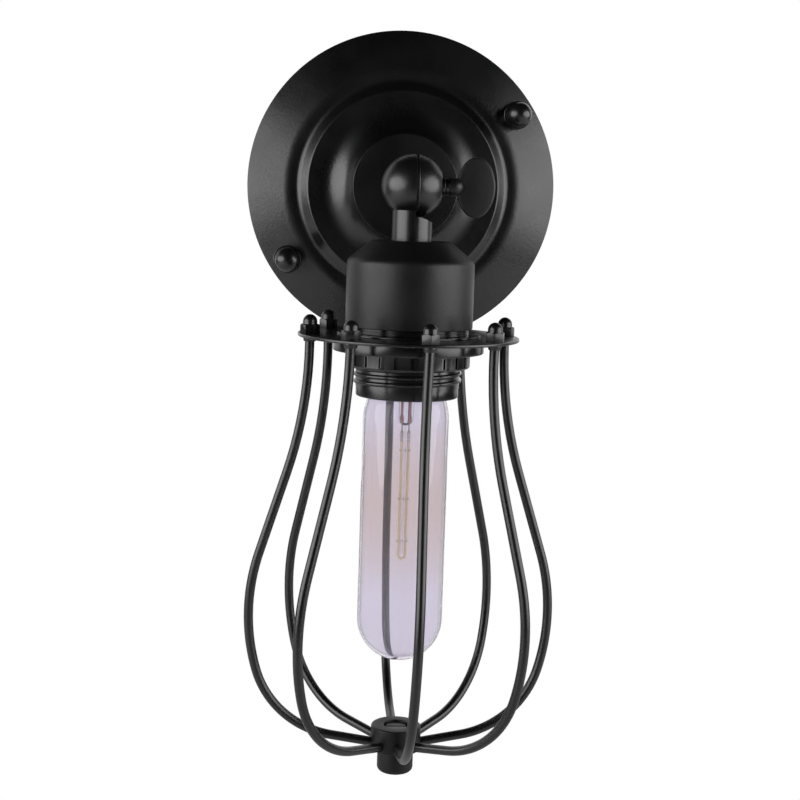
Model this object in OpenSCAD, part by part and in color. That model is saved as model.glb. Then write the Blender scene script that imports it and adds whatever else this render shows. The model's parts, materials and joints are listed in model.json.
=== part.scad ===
// Cage wall light. A round pressed canopy stands on the wall, a split ball
// knuckle carries a downward head, and a cage of eight bent rods guards a
// tubular lamp bulb.
//
// Frame: the wall is the plane Y = 0 and the light stands out towards -Y,
// +X is to the right and +Z is up. The origin is the middle of the mounting
// plate's back face, level with the pivot of the knuckle.

/* [Wall canopy] */
// Outside diameter of the pressed canopy
canopy_d = 124; // [112:1:140]
// Thickness of the canopy's sheet
canopy_wall = 1.2; // [0.8:0.1:1.4]
// Height of the rolled rim that rests on the wall
canopy_rim_h = 2.2; // [2:0.1:4]
// Width of the sloping outer flange, seen from the front
canopy_flange_w = 16; // [12:0.5:18]
// Rise of the outer flange from the rim to the ledge
canopy_flange_rise = 5.4; // [4:0.2:9]
// Width of the flat ledge inside the flange
canopy_ledge_w = 4.5; // [3:0.5:7]
// Width of the step from the ledge up to the dish
canopy_step_w = 3.5; // [2:0.5:5]
// Rise of the step from the ledge up to the dish
canopy_step_rise = 4; // [2:0.5:6]
// Diameter of the flat boss that carries the neck
boss_d = 41; // [34:1:50]
// Radius of the hollow curve from the dish up to the boss
cove_r = 11.7; // [6:0.5:13]

/* [Wall plate and its fasteners] */
// Thickness of the stamped mounting plate
plate_t = 1.6; // [1.2:0.1:2]
// Width of the plate's arms
plate_arm_w = 17; // [14:1:20]
// Diameter of the wire hole in the plate
plate_hole_d = 22; // [16:1:26]
// Smallest spacing of the wall box's screws
box_spacing_min = 70; // [66:1:74]
// Largest spacing of the wall box's screws
box_spacing_max = 89; // [84:1:94]
// Width of the slots for the wall box's screws
box_slot_w = 4.5; // [4:0.1:5.2]
// Distance of each canopy stud from the canopy's edge
stud_inset = 7.5; // [6:0.5:9]
// Turn of the studs' line from horizontal
stud_angle = 33.5; // [25:0.5:65]
// Diameter of the canopy studs
stud_d = 4; // [3:0.1:5]
// Diameter of the domed cap nuts on the studs
cap_nut_d = 9.8; // [8:0.1:11]
// Length of the cap nuts below their dome
cap_nut_h = 4.6; // [3:0.2:7]
// Height of the cap nuts' seats at the middle of the flange
cap_seat_h = 2.2; // [1.6:0.1:4]
// Diameter of the ground screw's head
ground_head_d = 8; // [6:0.5:9]
// Place of the ground screw along the plate, left of the middle
ground_x = 22; // [20:0.5:26]

/* [Knuckle] */
// Distance of the pivot from the wall
pivot_stand = 62; // [60:1:80]
// Diameter of the split ball
ball_d = 23.2; // [20:0.2:28]
// Place of the split right of the ball's middle
split_x = 1.1; // [0:0.1:3]
// Thickness of the friction washer in the split
friction_t = 0.6; // [0.4:0.1:1.6]
// Diameter of the friction washer
friction_d = 22; // [17:0.5:23]
// Diameter of the neck and of the stem
stem_d = 14.7; // [13:0.1:17]
// Distance from the pivot down to the top of the socket cup
stem_drop = 20; // [17:0.5:30]
// Radius of the relief that lets one half turn past the other
relief_r = 13.3; // [12.6:0.1:15]
// Diameter of the wire chamber inside the ball
chamber_d = 15; // [12:0.5:16]
// Depth of the wire chamber in each half
chamber_depth = 3.8; // [2:0.2:4.6]
// Diameter of the wire ways through the neck and the stem
wire_way_d = 4.2; // [3:0.1:4.6]

/* [Thumb screw] */
// Diameter of the pivot screw's shank
pivot_d = 5; // [4:0.1:6]
// Distance from the ball's middle to its flat under the washers
ball_flat_x = 10.2; // [9.6:0.1:11.2]
// Diameter of the washers and of the screw's collar
collar_d = 7; // [6:0.1:8]
// Thickness of the flat washer
flat_washer_t = 1.3; // [0.8:0.1:1.6]
// Thickness of the spring washer
spring_washer_t = 1.5; // [1:0.1:2]
// Width of the slit in the spring washer
spring_slit_w = 0.7; // [0.4:0.1:1.2]
// Length of the screw's collar up to its dome
collar_h = 1.8; // [1.4:0.1:4]
// Distance from the collar's end out to the thumb piece's near edge
thumb_start = 1; // [0:0.1:1.6]
// Width of the oval thumb piece
thumb_w = 14.2; // [11:0.2:18]
// Length of the oval thumb piece across the screw
thumb_len = 22; // [18:0.5:28]
// Thickness of the thumb piece
thumb_t = 2.2; // [1.6:0.1:3]

/* [Nipples] */
// Outside diameter of the threaded nipples
nipple_d = 9.6; // [9:0.1:10.2]
// Bore of the threaded nipples
nipple_bore = 6.4; // [5:0.1:7]
// Thickness of the lock nuts on the nipples
locknut_h = 3.6; // [2.5:0.1:5]
// Width across the flats of the lock nuts
locknut_af = 14; // [13:0.5:16]
// Thickness of the toothed washer under the neck's lock nut
lock_washer_t = 0.8; // [0.5:0.1:1.2]
// Depth of the nipple in the neck
neck_engage = 10; // [7:0.5:12]
// Depth of the nipple in the stem
stem_engage = 5.6; // [4:0.2:6]

/* [Socket cup] */
// Outside diameter of the socket cup
cup_d = 47; // [45:0.5:54]
// Diameter of the cup's flat top
cup_top_d = 29.2; // [24:0.2:34]
// Height of the cup's sloping shoulder
cup_cone_h = 7.2; // [4:0.2:9]
// Height of the whole cup
cup_h = 31.5; // [30:0.5:40]
// Thickness of the cup's sheet
cup_wall = 1.2; // [0.8:0.1:1.4]

/* [Lamp socket] */
// Thickness of the strap that holds the socket in the cup
strap_t = 1.6; // [1.2:0.1:2]
// Width of the strap
strap_w = 14; // [12:0.5:16]
// Spacing of the socket's two screws
socket_screw_spacing = 26; // [24:0.5:27]
// Diameter of the socket's screws
socket_screw_d = 3; // [2.5:0.1:3.5]
// Height of the free space between the strap and the socket
strap_space = 4.6; // [3:0.2:6]
// Height of the band of the socket that shows under the cup
socket_band_h = 2.3; // [1:0.1:5]
// Outside diameter of the thread on the skirt
skirt_d = 40; // [39:0.1:41]
// Pitch of the skirt's thread
skirt_pitch = 2.6; // [2:0.1:3.2]
// Depth of the skirt's thread
skirt_thread_h = 0.8; // [0.4:0.1:1]
// Length of the skirt below the socket's flange
skirt_len = 23.4; // [20:0.1:26]
// Length of the plain band at the skirt's mouth
skirt_band = 3.7; // [2:0.1:5]
// Bore of the skirt's mouth
mouth_d = 35.2; // [34.4:0.1:36]
// Thickness of the screw shell's sheet
shell_t = 0.5; // [0.3:0.1:0.7]
// Length of the screw shell
shell_len = 16; // [12:0.5:18]

/* [Cage ring] */
// Width of the ring plate outside the rods' holes' middles
ring_edge = 4.1; // [3.7:0.1:12]
// Thickness of the ring plate
ring_t = 1.2; // [0.8:0.1:2]
// Thickness of the gasket between the socket and the ring plate
gasket_t = 0.6; // [0.4:0.1:1.2]
// Diameter of the gasket
gasket_d = 53; // [48:0.5:58]
// Diameter of the retaining ring's flange
retainer_flange_d = 56; // [52:0.5:60]
// Height of the retaining ring's flange
retainer_flange_h = 4.8; // [2:0.1:6]
// Diameter of the retaining ring's grip
retainer_d = 46; // [45:0.2:50]
// Height of the retaining ring's grip with its bevel
retainer_grip_h = 5.5; // [4:0.1:8]
// Height of the bevel at the foot of the grip
retainer_bevel = 0.5; // [0.3:0.1:1.2]
// Number of grooves round the grip
retainer_grooves = 24; // [12:1:36]
// Width of the grooves in the grip
retainer_groove_w = 1.1; // [0.6:0.1:1.6]

/* [Cage rods] */
// Diameter of the rods
rod_d = 3.5; // [3:0.1:4]
// Direction of the first rod, from the front towards the right
rod_phase = 1; // [0:0.5:3]
// Sideways lean of every rod
rod_lean = 1.5; // [0:0.1:2]
// Radius at which the rods pass the ring
rod_top_r = 36.5; // [35.5:0.1:37.5]
// Straight length of the rods below the ring
rod_straight = 3; // [2.8:0.1:8]
// Radius of the upper bend, which opens the cage
flare_r = 159; // [120:1:180]
// Angle of the upper bend
flare_angle = 17.4; // [15:0.1:19]
// Straight length between the bends
flare_len = 31.8; // [26:0.1:38]
// Radius of the long bend at the widest part
belly_r = 78; // [70:1:90]
// Angle by which the long bend turns in past vertical
belly_angle = 16.4; // [13:0.1:19]
// Radius of the bottom bend
foot_r = 36.7; // [34:0.1:40]
// Final slope of the rods towards the hub, from vertical
foot_angle = 80; // [76:0.5:84]
// Width across the flats of the nuts on the rods
rod_nut_af = 6.2; // [5.4:0.1:6.6]
// Height of the hexagon of the cap nuts
rod_cap_hex_h = 3.4; // [2.4:0.1:4]
// Diameter of the dome of the cap nuts
rod_cap_dome_d = 5.3; // [4.7:0.1:5.3]
// Wall of the swaged collars on the rods under the ring
rod_collar_w = 0.5; // [0.4:0.1:1.2]
// Height of the swaged collars
rod_collar_h = 1.7; // [1:0.1:2.6]

/* [Cage hub] */
// Diameter of the hub's drum
hub_d = 19; // [18:0.2:24]
// Height of the drum above the rods' middle
hub_above = 6.8; // [4:0.1:9]
// Height of the drum below the rods' middle
hub_below = 2.6; // [2.6:0.1:5]
// Depth of the rods' seats in the drum
hub_seat = 2; // [1:0.1:2.6]
// Diameter of the recess in the drum's top
hub_recess_d = 9.5; // [8:0.1:10]
// Depth of the recess in the drum's top
hub_recess_h = 3.4; // [3:0.1:5]
// Diameter of the finial under the drum
finial_d = 13.7; // [11:0.1:16]
// Height of the finial
finial_h = 8.8; // [6:0.1:12]
// Rounding of the finial's foot
finial_round = 2; // [0.5:0.1:3]
// Diameter of the hub's screw
hub_screw_d = 4; // [3:0.1:5]

/* [Bulb] */
// Diameter of the tubular glass
bulb_d = 32; // [29:0.5:33]
// Length of the whole bulb
bulb_len = 140.2; // [110:0.2:150]
// Thickness of the glass
glass_t = 0.8; // [0.5:0.1:1.2]
// Length of the glass's narrow neck below the base
glass_neck_len = 9.6; // [2:0.2:12]
// Outside diameter of the screw base
base_d = 26; // [25.8:0.1:26.2]
// Length of the whole screw base
base_len = 26.5; // [25.5:0.1:28]
// Length of the threaded part of the base
base_thread_len = 17.5; // [14:0.1:19]
// Pitch of the base's thread
base_pitch = 3.6; // [3.4:0.1:3.8]
// Height of the base's end contact and its insulator
base_tip_h = 5; // [4:0.1:6]
// Length of the glass stem inside the bulb, from the base's rim
mount_len = 24; // [16:0.5:30]
// Length of the filament's long loop
filament_len = 46; // [36:1:60]
// Spacing of the filament's two legs
filament_gap = 2.6; // [2.4:0.1:5]
// Diameter of the filament
filament_d = 0.8; // [0.5:0.1:1]

/* [Clearances] */
// Radial clearance of a screw or nipple in its thread
thread_gap = 0.05; // [0.03:0.01:0.1]
// Radial clearance of a turning piece round its shaft
running_gap = 0.08; // [0.05:0.01:0.1]
// Radial clearance of a bolt or rod in its drilled hole
hole_gap = 0.25; // [0.2:0.05:0.4]
// Gap between faces that turn past each other
face_gap = 0.1; // [0.05:0.05:0.2]
// Gap between the bulb's contact and the socket's contact
contact_gap = 0.15; // [0.1:0.05:0.3]

/* [Hidden] */
$fn = 96;
eps = 0.01;
seam_hair = 0.03;
seam_tuck = 0.2;
weld_hair = 0.02;
rod_count = 8;

ROD_NODES = [for (i = [1:rod_count]) str("rod_", i)];

// Canopy, measured out from the wall
canopy_r = canopy_d / 2;
ledge_outer_r = canopy_r - canopy_flange_w;
ledge_inner_r = ledge_outer_r - canopy_ledge_w;
dish_r = ledge_inner_r - canopy_step_w;
ledge_h = canopy_rim_h + canopy_flange_rise;
dish_h = ledge_h + canopy_step_rise;
boss_r = boss_d / 2;
boss_h = dish_h + cove_r;
stud_r = canopy_r - stud_inset;
flange_slope = canopy_flange_rise / canopy_flange_w;
stud_flange_h = canopy_rim_h + stud_inset * flange_slope;
cap_seat_top = stud_flange_h + cap_seat_h;
cap_bore_h = cap_nut_h - 0.6;
stud_len = cap_seat_top + cap_bore_h - 0.4;
stud_arm_w = plate_arm_w * 2 / 3;
plate_rise = max(0, plate_t - canopy_rim_h + canopy_wall);
plate_fit_r = canopy_r - canopy_wall - plate_rise / flange_slope - hole_gap;
stud_arm_end = sqrt(pow(plate_fit_r, 2) - pow(stud_arm_w / 2, 2));
box_arm_end = box_spacing_max / 2 + box_slot_w / 2 + 3.5;

// Knuckle and thumb screw
ball_r = ball_d / 2;
stem_r = stem_d / 2;
left_face_x = split_x - friction_t / 2 - face_gap;
right_face_x = split_x + friction_t / 2;
neck_len = pivot_stand - boss_h;
nipple_r = nipple_d / 2;
collar_start_x = ball_flat_x + face_gap + flat_washer_t + spring_washer_t;
dome_x = collar_start_x + collar_h;
thumb_x = dome_x + thumb_start + thumb_w / 2;
pivot_tip_x = -ball_r + 3;
left_way_x = left_face_x - wire_way_d / 2 - 0.4;
right_way_x = right_face_x + wire_way_d / 2 + 0.4;

// Head, measured from the pivot along Z
cup_top_z = -stem_drop;
cup_shoulder_z = cup_top_z - cup_cone_h;
cup_bottom_z = cup_top_z - cup_h;
cup_inner_r = cup_d / 2 - cup_wall;
stem_nut_top_z = cup_top_z - cup_wall;
strap_top_z = stem_nut_top_z - locknut_h;
strap_bottom_z = strap_top_z - strap_t;
socket_top_z = strap_bottom_z - strap_space;
screw_head_r = socket_screw_d * 0.9;
flange_bottom_z = cup_bottom_z - socket_band_h;
ring_top_z = flange_bottom_z - gasket_t;
ring_bottom_z = ring_top_z - ring_t;
retainer_top_z = ring_bottom_z - face_gap;
skirt_r = skirt_d / 2;
mouth_z = flange_bottom_z - skirt_len;
socket_flange_r = cup_inner_r - hole_gap;
socket_neck_r = skirt_r + 0.4;

// Bulb, measured from the pivot along Z
base_r = base_d / 2;
bulb_r = bulb_d / 2;
shell_inner_r = base_r + running_gap;
shell_outer_r = shell_inner_r + shell_t;
shell_bottom_z = flange_bottom_z - 4.2;
shell_top_z = shell_bottom_z + shell_len;
contact_z = shell_top_z + 4.6;
contact_floor_z = contact_z + 2;
base_shoulder_z = contact_z - base_tip_h;
base_rim_z = contact_z - base_len;
bulb_tip_z = contact_z - bulb_len;
glass_dome_z = bulb_tip_z + bulb_r;
neck_glass_r = base_r - 0.7;
shoulder_r = 24;
shoulder_h = sqrt(pow(shoulder_r, 2) - pow(shoulder_r - bulb_r + neck_glass_r, 2));
shoulder_z = base_rim_z - glass_neck_len - shoulder_h;
mount_tip_z = base_rim_z - mount_len;
filament_top_z = mount_tip_z - 5;
filament_bottom_z = filament_top_z - filament_len;

// Rods: each bend ends where the next begins
rod_r = rod_d / 2;
rod_pitch = 360 / rod_count;
ring_mid_z = ring_bottom_z + ring_t / 2;
bend_start_z = ring_bottom_z - rod_straight;
flare_centre = [rod_top_r + flare_r, bend_start_z];
flare_end = flare_centre - flare_r * [cos(flare_angle), sin(flare_angle)];
belly_start = flare_end + flare_len * [sin(flare_angle), -cos(flare_angle)];
belly_centre = belly_start - belly_r * [cos(flare_angle), sin(flare_angle)];
foot_start = belly_centre + belly_r * [cos(belly_angle), -sin(belly_angle)];
foot_centre = foot_start - foot_r * [cos(belly_angle), -sin(belly_angle)];
foot_end = foot_centre + foot_r * [cos(foot_angle), -sin(foot_angle)];
hub_r = hub_d / 2;
foot_len = (foot_end[0] - hub_r + hub_seat) / sin(foot_angle);
weld_z = foot_end[1] - (foot_end[0] - hub_r) / tan(foot_angle);
lean_shift = (ring_mid_z - weld_z) * tan(rod_lean);
rod_hole_gap = hole_gap + ring_t * tan(rod_lean);
nut_bore_r = rod_r + 0.1 + (rod_cap_hex_h + 2) * tan(rod_lean);
rod_cap_bore_h = rod_cap_hex_h + 1;
rod_top_z = ring_top_z + rod_cap_bore_h - 0.4;
hub_top_z = weld_z + hub_above;
hub_bottom_z = weld_z - hub_below;

BLACK = [0.09, 0.09, 0.095];
GLOSS_BLACK = [0.03, 0.03, 0.035];
STEEL = [0.62, 0.63, 0.64];
BRASS = [0.78, 0.62, 0.33];
GLASS = [0.86, 0.85, 0.92, 0.35];
FIBRE = [0.35, 0.33, 0.3];
AMBER = [0.9, 0.6, 0.25];

// Places

// Turns a piece so that its own +Z stands out from the wall
module from_wall() {
    rotate([90, 0, 0]) children();
}

// Puts a piece on the knuckle's pivot
module at_pivot() {
    translate([0, -pivot_stand, 0]) children();
}

// Puts a copy on each canopy stud; the piece's +Z stands out from the wall
module at_studs() {
    from_wall() for (side = [0, 180])
        rotate([0, 0, stud_angle + side]) translate([stud_r, 0, 0]) children();
}

// Turns a piece's +X to the direction of one rod
module at_rod_direction(i) {
    rotate([0, 0, rod_phase - 90 + rod_pitch * (i - 1)]) children();
}

// Leans a piece with the rods about the line of their seats in the hub
module lean() {
    translate([0, 0, weld_z]) rotate([-rod_lean, 0, 0]) translate([0, 0, -weld_z]) children();
}

// Puts a copy where each rod passes the ring
module at_rod_tops() {
    at_pivot() for (i = [1:rod_count])
        at_rod_direction(i) translate([rod_top_r, lean_shift, 0]) children();
}

// Shapes that several pieces share

// A tube or washer from its foot upwards
module ring_solid(outer_r, inner_r, h) {
    difference() {
        cylinder(r = outer_r, h = h);
        translate([0, 0, -1]) cylinder(r = inner_r, h = h + 2);
    }
}

// A hexagonal nut with its corners turned off on top
module hex_nut(across_flats, bore_r, h) {
    corner_r = across_flats / sqrt(3);
    difference() {
        intersection() {
            cylinder(r = corner_r, h = h, $fn = 6);
            cylinder(r1 = corner_r + h * 0.9, r2 = corner_r * 0.92, h = h);
        }
        translate([0, 0, -1]) cylinder(r = bore_r, h = h + 2);
    }
}

// Outline points of a screw thread from its foot upwards, as even rings
function thread_points(r, depth, pitch, foot, turns) = [
    for (i = [0:turns - 1], p = [[0, 0.12], [0, 0.38], [-depth, 0.55], [-depth, 0.95]])
        [r + p[0], foot + (i + p[1]) * pitch]
];

// Half outline of the canopy, grown or shrunk by the sheet's thickness
module canopy_outline(inset) {
    polygon([
        [0, inset > 0 ? -1 : 0],
        [canopy_r - inset, inset > 0 ? -1 : 0],
        [canopy_r - inset, canopy_rim_h - inset],
        [ledge_outer_r, ledge_h - inset * 1.07],
        [ledge_inner_r - inset / 2, ledge_h - inset],
        [dish_r - inset / 2, dish_h - inset],
        [0, dish_h - inset]
    ]);
    difference() {
        translate([0, dish_h - inset - eps]) square([boss_r + cove_r - eps, cove_r + eps]);
        translate([boss_r + cove_r, boss_h]) circle(r = cove_r + inset);
    }
}

module canopy_solid(inset) {
    from_wall() rotate_extrude() canopy_outline(inset);
}

// Wall canopy and plate

module canopy() {
    color(BLACK) difference() {
        canopy_solid(0);
        canopy_solid(canopy_wall);
        from_wall() cylinder(r = nipple_r + hole_gap, h = boss_h + 1);
        at_studs() cylinder(r = stud_d / 2 + hole_gap, h = ledge_h + 2);
    }
}

module mounting_plate() {
    slot_end = [box_spacing_min / 2, box_spacing_max / 2];
    color(STEEL) difference() {
        from_wall() union() {
            cylinder(r = plate_hole_d / 2 + 6, h = plate_t);
            translate([-box_arm_end, -plate_arm_w / 2, 0]) cube([2 * box_arm_end, plate_arm_w, plate_t]);
            rotate([0, 0, stud_angle]) translate([-stud_arm_end, -stud_arm_w / 2, 0])
                cube([2 * stud_arm_end, stud_arm_w, plate_t]);
        }
        from_wall() translate([0, 0, -1]) {
            cylinder(r = plate_hole_d / 2, h = plate_t + 2);
            for (side = [-1, 1]) {
                for (x = slot_end) translate([side * x, 0, 0]) cylinder(d = box_slot_w, h = plate_t + 2);
                translate([side * (slot_end[0] + slot_end[1]) / 2, 0, plate_t / 2 + 1])
                    cube([slot_end[1] - slot_end[0], box_slot_w, plate_t + 2], center = true);
            }
            translate([-ground_x, 0, 0]) cylinder(r = stud_d / 2 + thread_gap, h = plate_t + 2);
        }
        at_studs() translate([0, 0, -1]) cylinder(r = stud_d / 2 + thread_gap, h = plate_t + 2);
    }
}

module ground_screw() {
    slot = [ground_head_d + 1, 1];
    color([0.2, 0.5, 0.25]) from_wall() translate([-ground_x, 0, 0]) {
        cylinder(r = stud_d / 2, h = plate_t);
        translate([0, 0, plate_t]) difference() {
            cylinder(r = ground_head_d / 2, h = 2.4);
            translate([-slot[0] / 2, -slot[1] / 2, 1.2]) cube([slot[0], slot[1], 2]);
        }
    }
}

module canopy_studs() {
    color(STEEL) at_studs() cylinder(r = stud_d / 2, h = stud_len);
}

module cap_nut_seats() {
    color(BLACK) difference() {
        at_studs() ring_solid(cap_nut_d / 2 + 0.7, stud_d / 2 + hole_gap, cap_seat_top);
        canopy_solid(0);
        from_wall() translate([0, 0, -1]) cylinder(r = canopy_r, h = canopy_rim_h);
    }
}

module canopy_cap_nuts() {
    color(BLACK) at_studs() translate([0, 0, cap_seat_top]) difference() {
        union() {
            cylinder(r = cap_nut_d / 2, h = cap_nut_h);
            translate([0, 0, cap_nut_h]) sphere(r = cap_nut_d / 2);
        }
        translate([0, 0, -cap_nut_d]) cylinder(r = cap_nut_d, h = cap_nut_d);
        translate([0, 0, -1]) cylinder(r = stud_d / 2 + thread_gap, h = cap_bore_h + 1);
    }
}

// Neck nipple and its nut, inside the canopy

module neck_nipple() {
    inside = canopy_wall + lock_washer_t + locknut_h + 1;
    color(STEEL) from_wall() translate([0, 0, boss_h - inside])
        ring_solid(nipple_r, nipple_bore / 2, inside + neck_engage - 0.4);
}

module lock_washer() {
    color(STEEL) from_wall() translate([0, 0, boss_h - canopy_wall - lock_washer_t])
        ring_solid(locknut_af / 2 + 0.8, nipple_r + hole_gap, lock_washer_t);
}

module neck_locknut() {
    color(STEEL) from_wall() translate([0, 0, boss_h - canopy_wall - lock_washer_t - locknut_h])
        hex_nut(locknut_af, nipple_r + thread_gap, locknut_h);
}

// Knuckle

module wall_knuckle() {
    color(BLACK) at_pivot() difference() {
        union() {
            intersection() {
                rotate([0, 0, 180]) sphere(r = ball_r);
                translate([right_face_x, -ball_d, -ball_d])
                    cube([ball_flat_x - right_face_x, 2 * ball_d, 2 * ball_d]);
            }
            difference() {
                rotate([-90, 0, 0]) cylinder(r = stem_r, h = neck_len);
                translate([-ball_d, 0, 0]) rotate([0, 90, 0])
                    cylinder(r = relief_r, h = ball_d + right_face_x);
            }
        }
        translate([right_face_x - eps, 0, 0]) rotate([0, 90, 0])
            cylinder(r = chamber_d / 2, h = chamber_depth + eps);
        rotate([0, 90, 0]) cylinder(r = pivot_d / 2 + running_gap, h = ball_d);
        translate([right_way_x, 0, 0]) rotate([-90, 0, 0]) cylinder(d = wire_way_d, h = neck_len);
        translate([0, neck_len - neck_engage, 0]) rotate([-90, 0, 0])
            cylinder(r = nipple_r + thread_gap, h = neck_engage + 1);
    }
}

module friction_washer() {
    color(FIBRE) at_pivot() translate([right_face_x - friction_t, 0, 0]) rotate([0, 90, 0])
        ring_solid(friction_d / 2, chamber_d / 2 + 0.3, friction_t);
}

module head_knuckle() {
    color(BLACK) at_pivot() difference() {
        union() {
            intersection() {
                sphere(r = ball_r);
                translate([left_face_x - 2 * ball_d, -ball_d, -ball_d]) cube(2 * ball_d);
            }
            difference() {
                translate([0, 0, cup_top_z]) cylinder(r = stem_r, h = stem_drop);
                translate([left_face_x, 0, 0]) rotate([0, 90, 0]) cylinder(r = relief_r, h = ball_d);
            }
        }
        translate([left_face_x - chamber_depth, 0, 0]) rotate([0, 90, 0])
            cylinder(r = chamber_d / 2, h = chamber_depth + eps);
        translate([pivot_tip_x - 0.6, 0, 0]) rotate([0, 90, 0])
            cylinder(r = pivot_d / 2 + running_gap, h = ball_d);
        translate([left_way_x, 0, cup_top_z]) cylinder(d = wire_way_d, h = stem_drop);
        translate([0, 0, cup_top_z - 1]) cylinder(r = nipple_r + thread_gap, h = stem_engage + 1);
    }
}

// Thumb screw and its washers

module thumb_screw() {
    points = [for (a = [0:5:355]) [thumb_w / 2 * cos(a), thumb_len / 2 * sin(a)]];
    color(BLACK) at_pivot() {
        translate([pivot_tip_x, 0, 0]) rotate([0, 90, 0])
            cylinder(r = pivot_d / 2, h = collar_start_x - pivot_tip_x);
        translate([collar_start_x, 0, 0]) rotate([0, 90, 0]) cylinder(d = collar_d, h = collar_h);
        translate([dome_x, 0, 0]) difference() {
            sphere(d = collar_d);
            translate([-collar_d - collar_h / 2, 0, 0]) rotate([0, 90, 0])
                cylinder(r = collar_d, h = collar_d);
        }
        translate([thumb_x, thumb_t / 2, 0]) rotate([90, 0, 0])
            linear_extrude(thumb_t) polygon(points);
    }
}

module pivot_washer() {
    color(STEEL) at_pivot() translate([ball_flat_x + face_gap, 0, 0]) rotate([0, 90, 0])
        ring_solid(collar_d / 2, pivot_d / 2 + hole_gap, flat_washer_t - face_gap);
}

module spring_washer() {
    color(STEEL) at_pivot() translate([ball_flat_x + face_gap + flat_washer_t, 0, 0]) rotate([0, 90, 0])
        difference() {
            ring_solid(collar_d / 2 - 0.3, pivot_d / 2 + hole_gap, spring_washer_t);
            translate([0, -spring_slit_w / 2, -1]) cube([collar_d, spring_slit_w, spring_washer_t + 2]);
        }
}

// Socket cup and what holds the socket in it

module stem_nipple() {
    below = cup_wall + locknut_h + strap_t + 0.8;
    color(STEEL) at_pivot() translate([0, 0, cup_top_z - below])
        ring_solid(nipple_r, nipple_bore / 2, below + stem_engage - 0.4);
}

module cup_outline(inset) {
    polygon([
        [0, cup_top_z - inset],
        [cup_top_d / 2 - inset * 0.4, cup_top_z - inset],
        [cup_d / 2 - inset, cup_shoulder_z - inset * 0.6],
        [cup_d / 2 - inset, cup_bottom_z - (inset > 0 ? 1 : 0)],
        [0, cup_bottom_z - (inset > 0 ? 1 : 0)]
    ]);
}

module socket_cup() {
    color(BLACK) at_pivot() difference() {
        rotate_extrude() cup_outline(0);
        rotate_extrude() cup_outline(cup_wall);
        translate([0, 0, cup_shoulder_z]) cylinder(r = nipple_r + hole_gap, h = cup_h);
    }
}

module socket_strap() {
    strap_len = socket_screw_spacing + 6.2;
    color(STEEL) at_pivot() translate([0, 0, strap_bottom_z]) difference() {
        intersection() {
            cylinder(d = strap_len, h = strap_t);
            translate([-strap_len / 2, -strap_w / 2, 0]) cube([strap_len, strap_w, strap_t]);
        }
        translate([0, 0, -1]) cylinder(r = nipple_r + thread_gap, h = strap_t + 2);
        for (side = [-1, 1]) translate([side * socket_screw_spacing / 2, 0, 0])
            cylinder(r1 = socket_screw_d / 2 + hole_gap, r2 = screw_head_r + hole_gap, h = strap_t);
    }
}

module stem_locknut() {
    color(STEEL) at_pivot() translate([0, 0, strap_top_z])
        hex_nut(locknut_af, nipple_r + thread_gap, locknut_h);
}

module socket_screws() {
    color(STEEL) at_pivot() for (side = [-1, 1])
        translate([side * socket_screw_spacing / 2, 0, strap_bottom_z]) {
            translate([0, 0, -strap_space - 3]) cylinder(d = socket_screw_d, h = strap_space + 3);
            cylinder(r1 = socket_screw_d / 2, r2 = screw_head_r, h = strap_t);
        }
}

module socket_body() {
    turns = floor((skirt_len - skirt_band - 0.5) / skirt_pitch);
    thread = thread_points(skirt_r, skirt_thread_h, skirt_pitch, mouth_z + skirt_band, turns);
    outline = concat(
        [[0, mouth_z], [skirt_r - 1, mouth_z], [skirt_r - 1, mouth_z + skirt_band]],
        thread,
        [[skirt_r, flange_bottom_z - 0.4], [skirt_r, flange_bottom_z],
         [socket_flange_r, flange_bottom_z], [socket_flange_r, flange_bottom_z + 8],
         [socket_neck_r, flange_bottom_z + 8], [socket_neck_r, socket_top_z + 1.5],
         [socket_neck_r - 1.5, socket_top_z], [0, socket_top_z]]
    );
    color(GLOSS_BLACK) at_pivot() difference() {
        union() {
            rotate_extrude() polygon(outline);
            for (side = [-1, 1]) translate([side * socket_screw_spacing / 2, 0, socket_top_z - 1])
                cylinder(r = socket_screw_d / 2 + 1.8, h = strap_space + 1);
        }
        translate([0, 0, mouth_z - 1]) cylinder(d = mouth_d, h = shell_bottom_z - mouth_z + 1);
        translate([0, 0, mouth_z]) cylinder(r = shell_outer_r + thread_gap, h = shell_top_z - mouth_z);
        translate([0, 0, mouth_z]) cylinder(r = base_r - 2, h = contact_floor_z - mouth_z);
        for (side = [-1, 1]) {
            translate([side * socket_screw_spacing / 2, 0, socket_top_z - 3.4])
                cylinder(r = socket_screw_d / 2 + thread_gap, h = strap_space + 4);
            terminal_place(side) cylinder(r = terminal_screw_r + thread_gap, h = 20);
        }
    }
}

terminal_screw_r = 1.5;
terminal_head_r = 2.6;
terminal_z = socket_top_z - 6;

// Puts a piece on a terminal, its own +Z pointing out of the socket's side
module terminal_place(side) {
    translate([0, side * (socket_neck_r - 4), terminal_z]) rotate([-90 * side, 0, 0]) children();
}

module terminal_screws() {
    color(BRASS) at_pivot() for (side = [-1, 1]) terminal_place(side) {
        cylinder(r = terminal_screw_r, h = 4 + eps);
        translate([0, 0, 4]) cylinder(r = terminal_head_r, h = 1.2);
    }
}

module screw_shell() {
    color(BRASS) at_pivot() translate([0, 0, shell_bottom_z]) difference() {
        ring_solid(shell_outer_r, shell_inner_r, shell_len);
        for (side = [-1, 1]) translate([side * (base_r - 1), 0, shell_len - 3])
            rotate([0, side * 90, 0]) cylinder(r = 1.1, h = 4);
    }
}

module shell_rivets() {
    color(BRASS) at_pivot() for (side = [-1, 1])
        translate([side * shell_inner_r, 0, shell_top_z - 3]) rotate([0, side * 90, 0])
            cylinder(r = 1, h = shell_t);
}

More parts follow.
